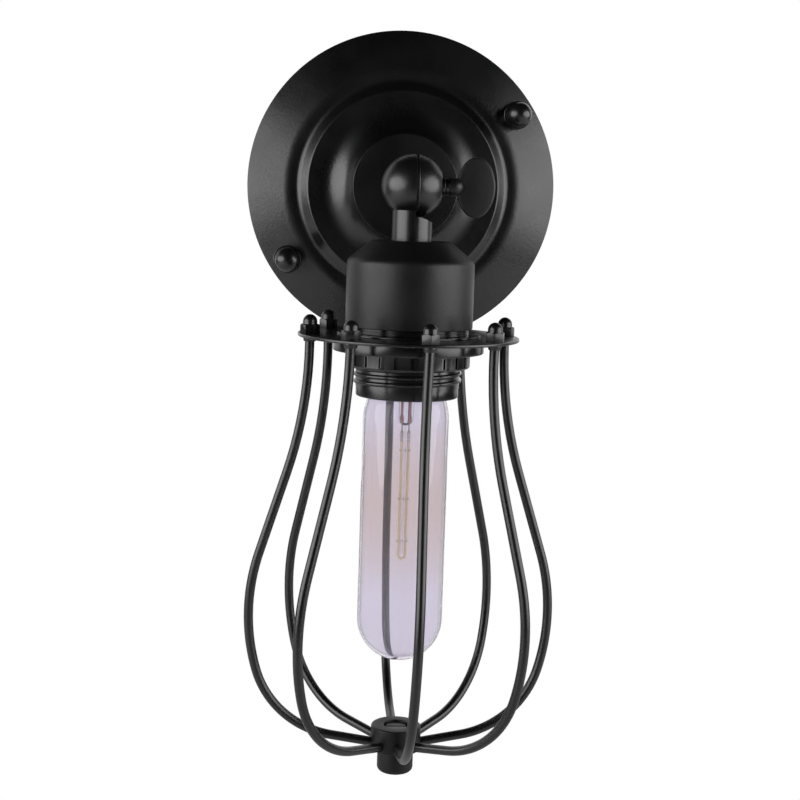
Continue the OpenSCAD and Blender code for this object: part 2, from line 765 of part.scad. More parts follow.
module centre_contact() {
    color(BRASS) at_pivot() {
        translate([-3, -base_r + 5, contact_floor_z - 0.6]) cube([6, 2 * base_r - 10, 0.6]);
        translate([0, 0, contact_z + contact_gap])
            cylinder(r = 3, h = contact_floor_z - contact_z - contact_gap);
    }
}

// Gasket, ring plate and retaining ring

module gasket() {
    color(BLACK) at_pivot() translate([0, 0, ring_top_z])
        ring_solid(gasket_d / 2, skirt_r + hole_gap, gasket_t);
}

module cage_ring() {
    edge = ring_t / 4;
    ring_r = sqrt(pow(rod_top_r, 2) + pow(lean_shift, 2)) + ring_edge;
    color(BLACK) difference() {
        at_pivot() rotate_extrude() polygon([
            [skirt_r + hole_gap, ring_bottom_z], [ring_r - edge, ring_bottom_z],
            [ring_r, ring_bottom_z + edge], [ring_r, ring_top_z - edge],
            [ring_r - edge, ring_top_z], [skirt_r + hole_gap, ring_top_z]
        ]);
        at_rod_tops() translate([0, 0, ring_bottom_z - 1])
            cylinder(r = rod_r + rod_hole_gap, h = ring_t + 2);
    }
}

module retaining_ring() {
    grip_r = retainer_d / 2;
    flange_z = retainer_top_z - retainer_flange_h;
    foot_z = flange_z - retainer_grip_h;
    bore_r = skirt_r + running_gap;
    color(GLOSS_BLACK) at_pivot() difference() {
        rotate([0, 0, 180 / retainer_grooves]) rotate_extrude() polygon([
            [bore_r, foot_z], [grip_r - retainer_bevel, foot_z], [grip_r, foot_z + retainer_bevel],
            [grip_r, flange_z], [retainer_flange_d / 2 - 0.5, flange_z],
            [retainer_flange_d / 2, flange_z + 0.5], [retainer_flange_d / 2, retainer_top_z],
            [bore_r, retainer_top_z]
        ]);
        for (i = [0:retainer_grooves - 1]) rotate([0, 0, i * 360 / retainer_grooves - 90])
            translate([grip_r - 0.6, -retainer_groove_w / 2, foot_z + retainer_bevel + 0.3])
                cube([2, retainer_groove_w, retainer_grip_h - retainer_bevel - 1]);
    }
}

// Cage rods, their nuts and the hub

// One bend of a rod, its middle at a centre in the rod's own plane. Every
// second length of a rod is a hair thinner and ends inside its neighbours.
module rod_bend(centre, radius, from, sweep, hair) {
    tuck = hair > 0 ? seam_tuck / radius * 180 / PI : 0;
    translate([centre[0], 0, centre[1]]) rotate([90, 0, 0]) rotate([0, 0, from - tuck])
        rotate_extrude(angle = sweep + 2 * tuck) translate([radius, 0]) circle(r = rod_r - hair);
}

module rod(i) {
    color(BLACK) at_pivot() at_rod_direction(i) lean() {
        translate([rod_top_r, 0, bend_start_z - seam_tuck])
            cylinder(r = rod_r - seam_hair, h = rod_top_z - bend_start_z + seam_tuck);
        rod_bend(flare_centre, flare_r, 180, flare_angle, 0);
        translate([flare_end[0], 0, flare_end[1]]) rotate([0, 180 - flare_angle, 0])
            translate([0, 0, -seam_tuck]) cylinder(r = rod_r - seam_hair, h = flare_len + 2 * seam_tuck);
        rod_bend(belly_centre, belly_r, -belly_angle, belly_angle + flare_angle, 0);
        rod_bend(foot_centre, foot_r, -foot_angle, foot_angle - belly_angle, seam_hair);
        translate([foot_end[0], 0, foot_end[1]]) rotate([0, 180 + foot_angle, 0])
            cylinder(r = rod_r, h = foot_len);
    }
}

module rod_cap_nuts() {
    dome_r = rod_cap_dome_d / 2;
    color(GLOSS_BLACK) at_rod_tops() translate([0, 0, ring_top_z]) difference() {
        union() {
            hex_nut(rod_nut_af, eps, rod_cap_hex_h);
            cylinder(r = dome_r, h = rod_cap_hex_h + 0.9);
            translate([0, 0, rod_cap_hex_h + 0.9]) intersection() {
                sphere(r = dome_r);
                translate([0, 0, dome_r]) cube(2 * dome_r, center = true);
            }
        }
        translate([0, 0, -1]) cylinder(r = nut_bore_r, h = rod_cap_bore_h + 1);
    }
}

module rod_collars() {
    collar_r = nut_bore_r + rod_collar_w;
    color(BLACK) at_rod_tops() translate([0, 0, ring_bottom_z]) rotate_extrude() polygon([
        [nut_bore_r, -rod_collar_h], [nut_bore_r + 0.2, -rod_collar_h], [collar_r, -0.4],
        [collar_r, 0], [nut_bore_r, 0]
    ]);
}

module cage_hub() {
    edge = 0.5;
    color(BLACK) at_pivot() difference() {
        rotate_extrude() polygon([
            [0, hub_bottom_z], [hub_r - edge, hub_bottom_z], [hub_r, hub_bottom_z + edge],
            [hub_r, hub_top_z - edge], [hub_r - edge, hub_top_z], [0, hub_top_z]
        ]);
        translate([0, 0, hub_top_z - hub_recess_h]) cylinder(d = hub_recess_d, h = hub_recess_h + 1);
        translate([0, 0, hub_bottom_z - 1])
            cylinder(r = hub_screw_d / 2 + hole_gap, h = hub_above + hub_below);
        for (i = [1:rod_count]) at_rod_direction(i) lean()
            translate([foot_end[0], 0, foot_end[1]]) rotate([0, 180 + foot_angle, 0])
                cylinder(r = rod_r + thread_gap, h = foot_len + 0.1);
    }
}

module hub_finial() {
    finial_r = finial_d / 2;
    foot_z = hub_bottom_z - finial_h;
    color(BLACK) at_pivot() difference() {
        rotate_extrude() union() {
            translate([0, foot_z + finial_round]) square([finial_r, finial_h - finial_round]);
            translate([0, foot_z]) square([finial_r - finial_round, finial_round + eps]);
            translate([finial_r - finial_round, foot_z + finial_round]) circle(r = finial_round);
        }
        translate([0, 0, foot_z + 2]) cylinder(r = hub_screw_d / 2 + thread_gap, h = finial_h);
    }
}

module hub_screw() {
    head_z = hub_top_z - hub_recess_h;
    color(STEEL) at_pivot() difference() {
        union() {
            translate([0, 0, hub_bottom_z - finial_h + 2.6])
                cylinder(d = hub_screw_d, h = head_z - hub_bottom_z + finial_h - 2.6);
            translate([0, 0, head_z]) cylinder(d = hub_recess_d - 1.6, h = 2.6);
        }
        translate([-hub_recess_d / 2, -0.5, head_z + 1.4]) cube([hub_recess_d, 1, 2]);
    }
}

// Bulb

// Half outline of the glass, shrunk by its thickness for the inside
module glass_outline(inset) {
    mouth_end = base_rim_z + (inset > 0 ? 4 : 3);
    difference() {
        union() {
            translate([0, glass_dome_z]) square([bulb_r - inset, shoulder_z - glass_dome_z]);
            translate([0, glass_dome_z]) circle(r = bulb_r - inset);
            intersection() {
                translate([bulb_r - shoulder_r, shoulder_z]) circle(r = shoulder_r - inset);
                translate([0, shoulder_z]) square([bulb_r, shoulder_h]);
            }
            translate([0, shoulder_z]) square([neck_glass_r - inset, mouth_end - shoulder_z]);
        }
        translate([-2 * shoulder_r, bulb_tip_z - 1]) square([2 * shoulder_r, bulb_len]);
    }
}

module bulb_glass() {
    color(GLASS) at_pivot() difference() {
        rotate_extrude() glass_outline(0);
        rotate_extrude() glass_outline(glass_t);
    }
}

module bulb_base() {
    turns = floor(base_thread_len / base_pitch);
    thread_foot = base_shoulder_z - turns * base_pitch;
    outline = concat(
        [[neck_glass_r + thread_gap, base_rim_z], [base_r, base_rim_z], [base_r, base_rim_z + 2],
         [base_r - 0.6, thread_foot]],
        thread_points(base_r, 0.6, base_pitch, thread_foot, turns),
        [[base_r - 2, base_shoulder_z + 0.4], [base_r - 4, base_shoulder_z + 0.4],
         [base_r - 4, base_shoulder_z - 0.6], [base_r - 1.4, base_shoulder_z - 1.4],
         [base_r - 1.4, base_rim_z + 3.4], [neck_glass_r + thread_gap, base_rim_z + 3.4]]
    );
    color(STEEL) at_pivot() rotate_extrude() polygon(outline);
}

module base_insulator() {
    color(GLOSS_BLACK) at_pivot() translate([0, 0, base_shoulder_z + 0.4]) difference() {
        cylinder(r1 = base_r - 2.2, r2 = 5.6, h = base_tip_h - 1.6);
        translate([0, 0, -1]) cylinder(r = 1.2, h = base_tip_h);
    }
}

module base_contact() {
    color(STEEL) at_pivot() translate([0, 0, contact_z - 1.2]) difference() {
        cylinder(r = 4.6, h = 1.2);
        translate([0, 0, -1]) cylinder(r = 1.2, h = 1.6);
    }
}

// The rounded tip of the glass stem, which holds the wires and the support
module stem_tip() {
    translate([0, 0, mount_tip_z + 2.6]) sphere(r = 3);
}

module bulb_stem() {
    flare_r = neck_glass_r - glass_t - weld_hair;
    color(GLASS) at_pivot() {
        rotate_extrude() polygon([
            [0, base_rim_z + 1], [flare_r, base_rim_z + 1], [flare_r, base_rim_z],
            [4.6, base_rim_z - 7], [3.2, base_rim_z - 12], [3, mount_tip_z + 2.6], [0, mount_tip_z + 2.6]
        ]);
        stem_tip();
    }
}

// A straight wire between two points
module wire(a, b, d) {
    v = b - a;
    translate(a) rotate([0, acos(v[2] / norm(v)), atan2(v[1], v[0])]) cylinder(d = d, h = norm(v));
}

module lead_wires() {
    color(STEEL) at_pivot() difference() {
        for (side = [-1, 1])
            wire([side * 1.4, 0, mount_tip_z + 0.6], [side * filament_gap / 2, 0, filament_top_z], 0.7);
        stem_tip();
        translate([-filament_gap, -1, filament_top_z - 2]) cube([2 * filament_gap, 2, 2]);
    }
}

module filament_support() {
    hook_r = filament_gap / 2 + filament_d / 2 + 0.35;
    post_r = 0.5;
    post_foot_z = filament_bottom_z + 2.4;
    color(GLASS) at_pivot() {
        difference() {
            translate([0, 0, post_foot_z]) cylinder(r = post_r, h = mount_tip_z + 1 - post_foot_z);
            stem_tip();
        }
        for (f = [0.1, 0.5, 0.85]) translate([0, 0, filament_top_z - f * filament_len])
            rotate_extrude() translate([hook_r, 0]) circle(r = 0.25, $fn = 24);
        for (f = [0.1, 0.5, 0.85], side = [-90, 90])
            translate([0, 0, filament_top_z - f * filament_len]) rotate([0, 90, side])
                cylinder(r = 0.25, h = hook_r);
    }
}

module filament() {
    leg_r = filament_gap / 2;
    color(AMBER) at_pivot() {
        for (side = [-1, 1]) translate([side * leg_r, 0, filament_bottom_z + leg_r])
            cylinder(d = filament_d, h = filament_len - leg_r);
        translate([0, 0, filament_bottom_z + leg_r]) rotate([-90, 0, 0])
            rotate_extrude(angle = 180) translate([leg_r, 0]) circle(d = filament_d);
    }
}

canopy();
mounting_plate();
ground_screw();
canopy_studs();
cap_nut_seats();
canopy_cap_nuts();
neck_nipple();
lock_washer();
neck_locknut();
wall_knuckle();
friction_washer();
head_knuckle();
thumb_screw();
pivot_washer();
spring_washer();
stem_nipple();
socket_cup();
socket_strap();
stem_locknut();
socket_screws();
socket_body();
screw_shell();
shell_rivets();
centre_contact();
terminal_screws();
gasket();
cage_ring();
retaining_ring();
rod(1);  // rod_1
rod(2);  // rod_2
rod(3);  // rod_3
rod(4);  // rod_4
rod(5);  // rod_5
rod(6);  // rod_6
rod(7);  // rod_7
rod(8);  // rod_8
rod_cap_nuts();
rod_collars();
cage_hub();
hub_finial();
hub_screw();
bulb_glass();
bulb_base();
base_insulator();
base_contact();
bulb_stem();
lead_wires();
filament_support();
filament();
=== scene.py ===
"""Cage wall light, dressed for looking at: satin black metal, moulded plastic and a clear tubular bulb.

Lengths in the classes below are millimetres in the light's own frame. +X is to the right, +Z is up and
-Y is towards the viewer. The wall is the plane Y = 0, and the knuckle's pivot is PIVOT_STAND before it.
"""

import enum
import json
import logging
import math
from dataclasses import dataclass
from typing import Any, Dict, List, Mapping, Optional, Sequence, Tuple, Union

import bpy
from mathutils import Matrix, Vector


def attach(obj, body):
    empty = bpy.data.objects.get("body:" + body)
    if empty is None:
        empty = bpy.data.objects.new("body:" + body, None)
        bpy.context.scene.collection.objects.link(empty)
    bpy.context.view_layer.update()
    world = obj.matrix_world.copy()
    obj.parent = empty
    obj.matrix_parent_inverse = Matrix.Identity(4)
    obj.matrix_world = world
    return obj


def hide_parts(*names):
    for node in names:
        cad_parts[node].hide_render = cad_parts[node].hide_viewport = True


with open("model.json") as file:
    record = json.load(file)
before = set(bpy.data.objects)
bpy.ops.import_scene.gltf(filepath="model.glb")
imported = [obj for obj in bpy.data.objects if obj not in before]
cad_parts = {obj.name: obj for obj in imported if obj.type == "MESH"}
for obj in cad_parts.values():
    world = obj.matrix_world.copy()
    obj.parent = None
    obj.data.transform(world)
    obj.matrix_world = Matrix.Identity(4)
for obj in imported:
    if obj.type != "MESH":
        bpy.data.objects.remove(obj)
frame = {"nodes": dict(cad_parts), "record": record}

LOG = logging.getLogger("cage_wall_light")
MM = 0.001
PIVOT_STAND = 62.0
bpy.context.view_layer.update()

Point2 = Tuple[float, float]
Point3 = Tuple[float, float, float]
Colour = Tuple[float, float, float]


class Body(enum.Enum):
    """The rigid bodies of the light that a piece can ride on."""

    CANOPY = "canopy"
    HEAD = "head"
    THUMB = "thumb_screw"
    RING = "retaining_ring"
    BULB = "bulb"


class Slot(enum.Enum):
    """The record's material slots."""

    SATIN = "satin_black"
    GLOSS = "gloss_black"
    THUMB = "thumb_black"
    BLACK_STEEL = "black_steel"
    ZINC = "zinc_steel"
    GREEN = "ground_green"
    PHENOLIC = "phenolic"
    VITRITE = "vitrite"
    BRASS = "brass"
    FIBRE = "fibre"
    BULB_GLASS = "bulb_glass"
    STEM_GLASS = "stem_glass"
    NICKEL = "nickel"
    FILAMENT = "filament"


class Facing(enum.Enum):
    """Which way a turned piece's own axis points once it is in place."""

    UP = "up"
    FROM_WALL = "from_wall"
    RIGHT = "right"


# Shader maths


class Field:
    """A varying number in a material. An expression on fields adds its Math nodes."""

    def __init__(self, graph: "Graph", socket: bpy.types.NodeSocket) -> None:
        """Keeps the graph that the socket belongs to."""
        self.graph = graph
        self.socket = socket

    def _math(self, operation: str, first: "Number", second: "Number") -> "Field":
        """Adds one Math node.

        Args:
            operation: The node's operation.
            first: The first value or field.
            second: The second value or field.

        Returns:
            The result as a field.
        """
        made = self.graph.node("ShaderNodeMath", {"operation": operation}, {0: first, 1: second})
        return Field(self.graph, made.outputs[0])

    def __add__(self, other: "Number") -> "Field":
        """This field plus another value."""
        return self._math("ADD", self, other)

    def __radd__(self, other: "Number") -> "Field":
        """A value plus this field."""
        return self._math("ADD", other, self)

    def __sub__(self, other: "Number") -> "Field":
        """This field less another value."""
        return self._math("SUBTRACT", self, other)

    def __rsub__(self, other: "Number") -> "Field":
        """A value less this field."""
        return self._math("SUBTRACT", other, self)

    def __mul__(self, other: "Number") -> "Field":
        """This field times another value."""
        return self._math("MULTIPLY", self, other)

    def __rmul__(self, other: "Number") -> "Field":
        """A value times this field."""
        return self._math("MULTIPLY", other, self)

    def __pow__(self, other: "Number") -> "Field":
        """This field to a power."""
        return self._math("POWER", self, other)


Number = Union[float, Field]


class Graph:
    """The node tree of one material or of the world, built node by node."""

    def __init__(self, tree: bpy.types.NodeTree) -> None:
        """Empties the tree."""
        self.tree = tree
        tree.nodes.clear()

    def node(
        self, kind: str, settings: Optional[Mapping[str, Any]] = None, sockets: Optional[Mapping[Any, Any]] = None
    ) -> bpy.types.Node:
        """Adds a node with its settings, then sets or links its sockets.

        Args:
            kind: The node's type.
            settings: Property values; "stops" holds a colour ramp's (place, colour) pairs.
            sockets: Values, fields or output sockets by input name or number.

        Returns:
            The node.
        """
        made = self.tree.nodes.new(kind)
        for key, value in (settings or {}).items():
            if key == "stops":
                self._stops(made, value)
            else:
                setattr(made, key, value)
        for key, value in (sockets or {}).items():
            target = made.inputs[key]
            if isinstance(value, Field):
                self.tree.links.new(value.socket, target)
            elif isinstance(value, bpy.types.NodeSocket):
                self.tree.links.new(value, target)
            else:
                target.default_value = value
        return made

    def _stops(self, ramp: bpy.types.Node, stops: Sequence[Tuple[float, Colour]]) -> None:
        """Sets a colour ramp's stops."""
        elements = ramp.color_ramp.elements
        while len(elements) < len(stops):
            elements.new(0.5)
        for element, (place, colour) in zip(elements, stops):
            element.position = place
            element.color = (*colour, 1.0)

    def place(self, stretch: Point3 = (1.0, 1.0, 1.0)) -> bpy.types.NodeSocket:
        """The place on the piece in metres, stretched for a directional pattern."""
        coords = self.node("ShaderNodeTexCoord").outputs["Object"]
        return self.node("ShaderNodeMapping", {}, {"Vector": coords, "Scale": stretch}).outputs["Vector"]

    def height(self) -> Field:
        """How high the place on the piece is, in metres."""
        split = self.node("ShaderNodeSeparateXYZ", {}, {0: self.place()})
        return Field(self, split.outputs["Z"])

    def noise(self, scale: float, detail: float = 3.0, stretch: Point3 = (1.0, 1.0, 1.0)) -> Field:
        """A soft noise from 0 to 1 with features of about 1 / scale metres."""
        made = self.node(
            "ShaderNodeTexNoise", {}, {"Vector": self.place(stretch), "Scale": scale, "Detail": detail}
        )
        return Field(self, made.outputs["Fac"])

    def cells(self, scale: float) -> Field:
        """The distance to the nearest speck of a random scatter."""
        made = self.node("ShaderNodeTexVoronoi", {}, {"Vector": self.place(), "Scale": scale})
        return Field(self, made.outputs["Distance"])

    def between(self, mask: Field, low: float, high: float, new_low: float, new_high: float) -> Field:
        """A mask's range spread over a new range, and held inside it."""
        made = self.node(
            "ShaderNodeMapRange",
            {"clamp": True},
            {"Value": mask, "From Min": low, "From Max": high, "To Min": new_low, "To Max": new_high},
        )
        return Field(self, made.outputs["Result"])

    def blend(
        self, mask: Field, first: Union[Colour, bpy.types.NodeSocket], second: Colour
    ) -> bpy.types.NodeSocket:
        """A colour that goes from first to second as the mask goes from 0 to 1."""
        start = first if isinstance(first, bpy.types.NodeSocket) else (*first, 1.0)
        made = self.node("ShaderNodeMix", {"data_type": "RGBA"}, {0: mask, 6: start, 7: (*second, 1.0)})
        return made.outputs[2]

    def facing(self, low: float, high: float) -> Field:
        """A mask of the surface's edge as it is seen, 0 up to low and 1 from high."""
        made = self.node("ShaderNodeLayerWeight", {}, {"Blend": 0.5})
        return self.between(Field(self, made.outputs["Facing"]), low, high, 0.0, 1.0)

    def bump(self, height: Field, distance: float, strength: float = 1.0) -> bpy.types.NodeSocket:
        """A surface normal raised by a height field, distance in metres."""
        made = self.node(
            "ShaderNodeBump", {}, {"Height": height, "Distance": distance, "Strength": strength}
        )
        return made.outputs["Normal"]

    def shine(self, sockets: Mapping[Any, Any]) -> bpy.types.Node:
        """The Principled shader with its sockets, linked to the output."""
        shader = self.node("ShaderNodeBsdfPrincipled", {}, sockets)
        self.finish(shader.outputs[0])
        return shader

    def finish(self, shader: bpy.types.NodeSocket) -> None:
        """Links a shader to the material's output."""
        self.node("ShaderNodeOutputMaterial", {}, {"Surface": shader})


# Finishes


@dataclass(frozen=True)
class Finish:
    """What every finish has: a name and a way to make its material."""

    name: str

    def paint(self, graph: Graph) -> None:
        """Builds the finish's nodes. Each finish has its own."""
        raise NotImplementedError

    def material(self) -> bpy.types.Material:
        """The finish's material, made once.

        Returns:
            The material.
        """
        known = bpy.data.materials.get(self.name)
        if known is not None:
            return known
        made = bpy.data.materials.new(self.name)
        made.use_nodes = True
        self.paint(Graph(made.node_tree))
        return made


@dataclass(frozen=True)
class PaintFinish(Finish):
    """Sprayed paint on metal, with a fine orange peel and a faint cloudiness."""

    colour: Colour = (0.0018, 0.0018, 0.002)
    rough: float = 0.3
    peel: float = 0.000035
    peel_scale: float = 900.0
    specular: float = 0.55

    def paint(self, graph: Graph) -> None:
        """Mixes two close blacks, clouds the gloss and raises the peel."""
        cloud = graph.noise(45.0, 4.0)
        grain = graph.noise(self.peel_scale, 2.0)
        dust = graph.between(graph.cells(650.0), 0.0, 0.12, 1.0, 0.0)
        lifted = tuple(min(1.0, c * 1.4 + 0.0006) for c in self.colour)
        tone = graph.between(cloud, 0.35, 0.68, 0.0, 1.0)
        rough = graph.between(cloud + 0.25 * (grain - 0.5), 0.3, 0.7, self.rough - 0.04, self.rough + 0.06)
        graph.shine(
            {
                "Base Color": graph.blend(tone, self.colour, lifted),
                "Roughness": rough + 0.05 * dust,
                "Specular IOR Level": self.specular,
                "Normal": graph.bump(grain + 0.15 * dust, self.peel),
            }
        )


@dataclass(frozen=True)
class MouldedFinish(Finish):
    """Hot-moulded black plastic: a deep gloss with faint flow marks."""

    colour: Colour = (0.003, 0.003, 0.0033)
    rough: float = 0.2

    def paint(self, graph: Graph) -> None:
        """Breaks the gloss up with flow marks and fine rubbing."""
        flow = graph.noise(70.0, 5.0, (1.0, 1.0, 2.5))
        rub = graph.noise(1400.0, 2.0, (1.0, 1.0, 0.2))
        rough = graph.between(flow, 0.3, 0.72, self.rough - 0.04, self.rough + 0.08) + 0.04 * (rub - 0.5)
        lifted = tuple(c * 1.5 + 0.0008 for c in self.colour)
        graph.shine(
            {
                "Base Color": graph.blend(flow, self.colour, lifted),
                "Roughness": rough,
                "Normal": graph.bump(flow + 0.2 * rub, 0.00003),
            }
        )


@dataclass(frozen=True)
class PlatedFinish(Finish):
    """Plated or bare metal with fine rolling marks."""

    colour: Colour = (0.6, 0.61, 0.63)
    rough: float = 0.32
    stretch: Point3 = (1.0, 1.0, 6.0)
    stain: float = 0.25

    def paint(self, graph: Graph) -> None:
        """Stretches a noise into rolling marks and adds cloudy stains."""
        marks = graph.noise(900.0, 3.0, self.stretch)
        cloud = graph.noise(60.0, 4.0)
        dull = tuple(c * (1.0 - self.stain) for c in self.colour)
        rough = graph.between(cloud, 0.3, 0.7, self.rough - 0.06, self.rough + 0.1) + 0.1 * (marks - 0.5)
        graph.shine(
            {
                "Base Color": graph.blend(graph.between(cloud, 0.35, 0.7, 0.0, 1.0), self.colour, dull),
                "Metallic": 1.0,
                "Roughness": rough,
                "Normal": graph.bump(marks, 0.00001),
            }
        )


@dataclass(frozen=True)
class FibreFinish(Finish):
    """Pressed fibre board: matt, flecked and a little fuzzy."""

    colour: Colour = (0.02, 0.02, 0.019)

    def paint(self, graph: Graph) -> None:
        """Scatters dark flecks and raises the fibres."""
        flecks = graph.noise(1600.0, 4.0, (1.0, 3.0, 1.0))
        dark = tuple(c * 0.6 for c in self.colour)
        graph.shine(
            {
                "Base Color": graph.blend(graph.between(flecks, 0.35, 0.65, 0.0, 1.0), self.colour, dark),
                "Roughness": 0.72 + 0.15 * flecks,
                "Normal": graph.bump(flecks, 0.00004),
            }
        )


@dataclass(frozen=True)
class GlassFinish(Finish):
    """Clear blown glass with a faint tint, a painted warm glow about the filament and painted shade where its wall is
    seen edge on.
    """

    tint: Colour = (0.81, 0.78, 0.86)
    # The second colour, with its height and reach below, is a painted warm glow about the filament.
    painted_filament_glow: Colour = (0.785, 0.715, 0.73)
    painted_glow_z: float = -0.118
    painted_glow_reach: float = 0.034
    # The edge colour is painted shade, laid on from where the wall begins to be seen edge on.
    edge: Colour = (0.5, 0.48, 0.53)
    painted_rim_shade_from: float = 0.56
    clear: float = 0.94
    wave: float = 0.00006
    ior: float = 1.26

    def paint(self, graph: Graph) -> None:
        """Lets light through, raises slow drawing marks, and paints a warm glow about the filament and shade along the
        wall's seen edge.
        """
        draw = graph.noise(55.0, 2.0, (1.0, 1.0, 0.35))
        haze = graph.noise(160.0, 4.0)
        # Painted warm glow: the glass's colour turns warmer about the filament's height.
        off = graph.height() - self.painted_glow_z
        glow = graph.between(off * off, 0.0, self.painted_glow_reach**2, 1.0, 0.0) - 0.1 * haze
        # Painted shade: the glass's colour darkens towards its seen edge.
        rim = graph.facing(self.painted_rim_shade_from, self.painted_rim_shade_from + 0.3)
        graph.shine(
            {
                "Base Color": graph.blend(rim, graph.blend(glow, self.tint, self.painted_filament_glow), self.edge),
                "Roughness": graph.between(haze, 0.45, 0.8, 0.0, 0.02),
                "IOR": self.ior,
                "Transmission Weight": self.clear,
                "Normal": graph.bump(draw, self.wave),
            }
        )


SATIN = PaintFinish("satin_black_paint")
SPUN = PaintFinish("satin_black_paint_on_spun_cup", rough=0.44, specular=0.36)
DRUM = PaintFinish("dull_black_paint_on_drum", rough=0.42, specular=0.26)
GLOSS = PaintFinish("gloss_black_paint", (0.003, 0.003, 0.0033), 0.28, 0.00001, 700.0)
MATT = PaintFinish("matt_black_paint", (0.004, 0.004, 0.0042), 0.42, 0.00003, 1100.0, 0.4)
BLACK_STEEL = PlatedFinish("blackened_steel", (0.07, 0.07, 0.073), 0.26, (1.0, 1.0, 4.0), 0.3)
ZINC = PlatedFinish("bright_zinc_plate")
GREEN = PaintFinish("green_earth_screw_paint", (0.02, 0.16, 0.06), 0.4)
PHENOLIC = MouldedFinish("moulded_black_phenolic")
VITRITE = MouldedFinish("black_glass_insulator", (0.008, 0.007, 0.009), 0.08)
BRASS = PlatedFinish("drawn_brass", (0.72, 0.53, 0.24), 0.28, (1.0, 1.0, 5.0), 0.2)
FIBRE = FibreFinish("pressed_fibre")
BULB_GLASS = GlassFinish("clear_bulb_glass")
# The stem glass gets the same painted shade along its seen edge; its glow colour is its tint.
STEM_GLASS = GlassFinish(
    "clear_stem_glass", (0.96, 0.96, 0.98), (0.96, 0.96, 0.98), edge=(0.8, 0.8, 0.82), clear=1.0, wave=0.0001, ior=1.47
)
NICKEL = PlatedFinish("nickel_plate", (0.68, 0.66, 0.62), 0.22, (1.0, 1.0, 5.0), 0.15)
SEAL_WIRE = PlatedFinish("red_seal_wire", (0.6, 0.33, 0.3), 0.35, (1.0, 1.0, 8.0), 0.2)
FILAMENT = PaintFinish("pale_gold_filament_wire", (1.0, 0.8, 0.56), 0.4, 0.00001, 2500.0)

FINISH_OF: Dict[Slot, Finish] = {
    Slot.SATIN: SATIN,
    Slot.GLOSS: GLOSS,
    Slot.THUMB: MATT,
    Slot.BLACK_STEEL: BLACK_STEEL,
    Slot.ZINC: ZINC,
    Slot.GREEN: GREEN,
    Slot.PHENOLIC: PHENOLIC,
    Slot.VITRITE: VITRITE,
    Slot.BRASS: BRASS,
    Slot.FIBRE: FIBRE,
    Slot.BULB_GLASS: BULB_GLASS,
    Slot.STEM_GLASS: STEM_GLASS,
    Slot.NICKEL: NICKEL,
    Slot.FILAMENT: FILAMENT,
}


# Outlines


def arc(centre: Point2, radius: float, start: float, end: float, steps: int = 8) -> List[Point2]:
    """Points along an arc.

    Args:
        centre: The arc's centre.
        radius: The arc's radius.
        start: The first angle in degrees.
        end: The last angle in degrees.
        steps: How many lengths the arc is divided into.

    Returns:
        The points, both ends included.
    """
    turns = [math.radians(start + (end - start) * i / steps) for i in range(steps + 1)]
    return [(centre[0] + radius * math.cos(t), centre[1] + radius * math.sin(t)) for t in turns]


def eased(points: Sequence[Tuple[float, float, float]], closed: bool = False, steps: int = 4) -> List[Point2]:
    """An outline with its corners rounded.

    Args:
        points: (radius, along, corner radius) for each corner.
        closed: Whether the outline comes back to its first corner.
        steps: How many lengths each rounded corner is divided into.

    Returns:
        The outline's points.
    """
    made: List[Point2] = []
    count = len(points)
    for i, (x, y, r) in enumerate(points):
        if r <= 0 or (not closed and i in (0, count - 1)):
            made.append((x, y))
            continue
        here = Vector((x, y))
        back = Vector(points[i - 1][:2]) - here
        ahead = Vector(points[(i + 1) % count][:2]) - here
        half = back.angle(ahead) / 2
        if half > math.radians(88) or half < math.radians(2):
            made.append((x, y))
            continue
        run = min(r / math.tan(half), back.length * 0.48, ahead.length * 0.48)
        radius = run * math.tan(half)
        first = here + back.normalized() * run
        centre = here + (back.normalized() + ahead.normalized()).normalized() * (radius / math.sin(half))
        spoke = first - centre
        last = here + ahead.normalized() * run - centre
        sweep = spoke.angle_signed(last)
        for j in range(steps + 1):
            turn = -sweep * j / steps
            turned = Vector(
                (
                    spoke.x * math.cos(turn) - spoke.y * math.sin(turn),
                    spoke.x * math.sin(turn) + spoke.y * math.cos(turn),
                )
            )
            made.append(tuple(centre + turned))
    return made


# Modelling by hand


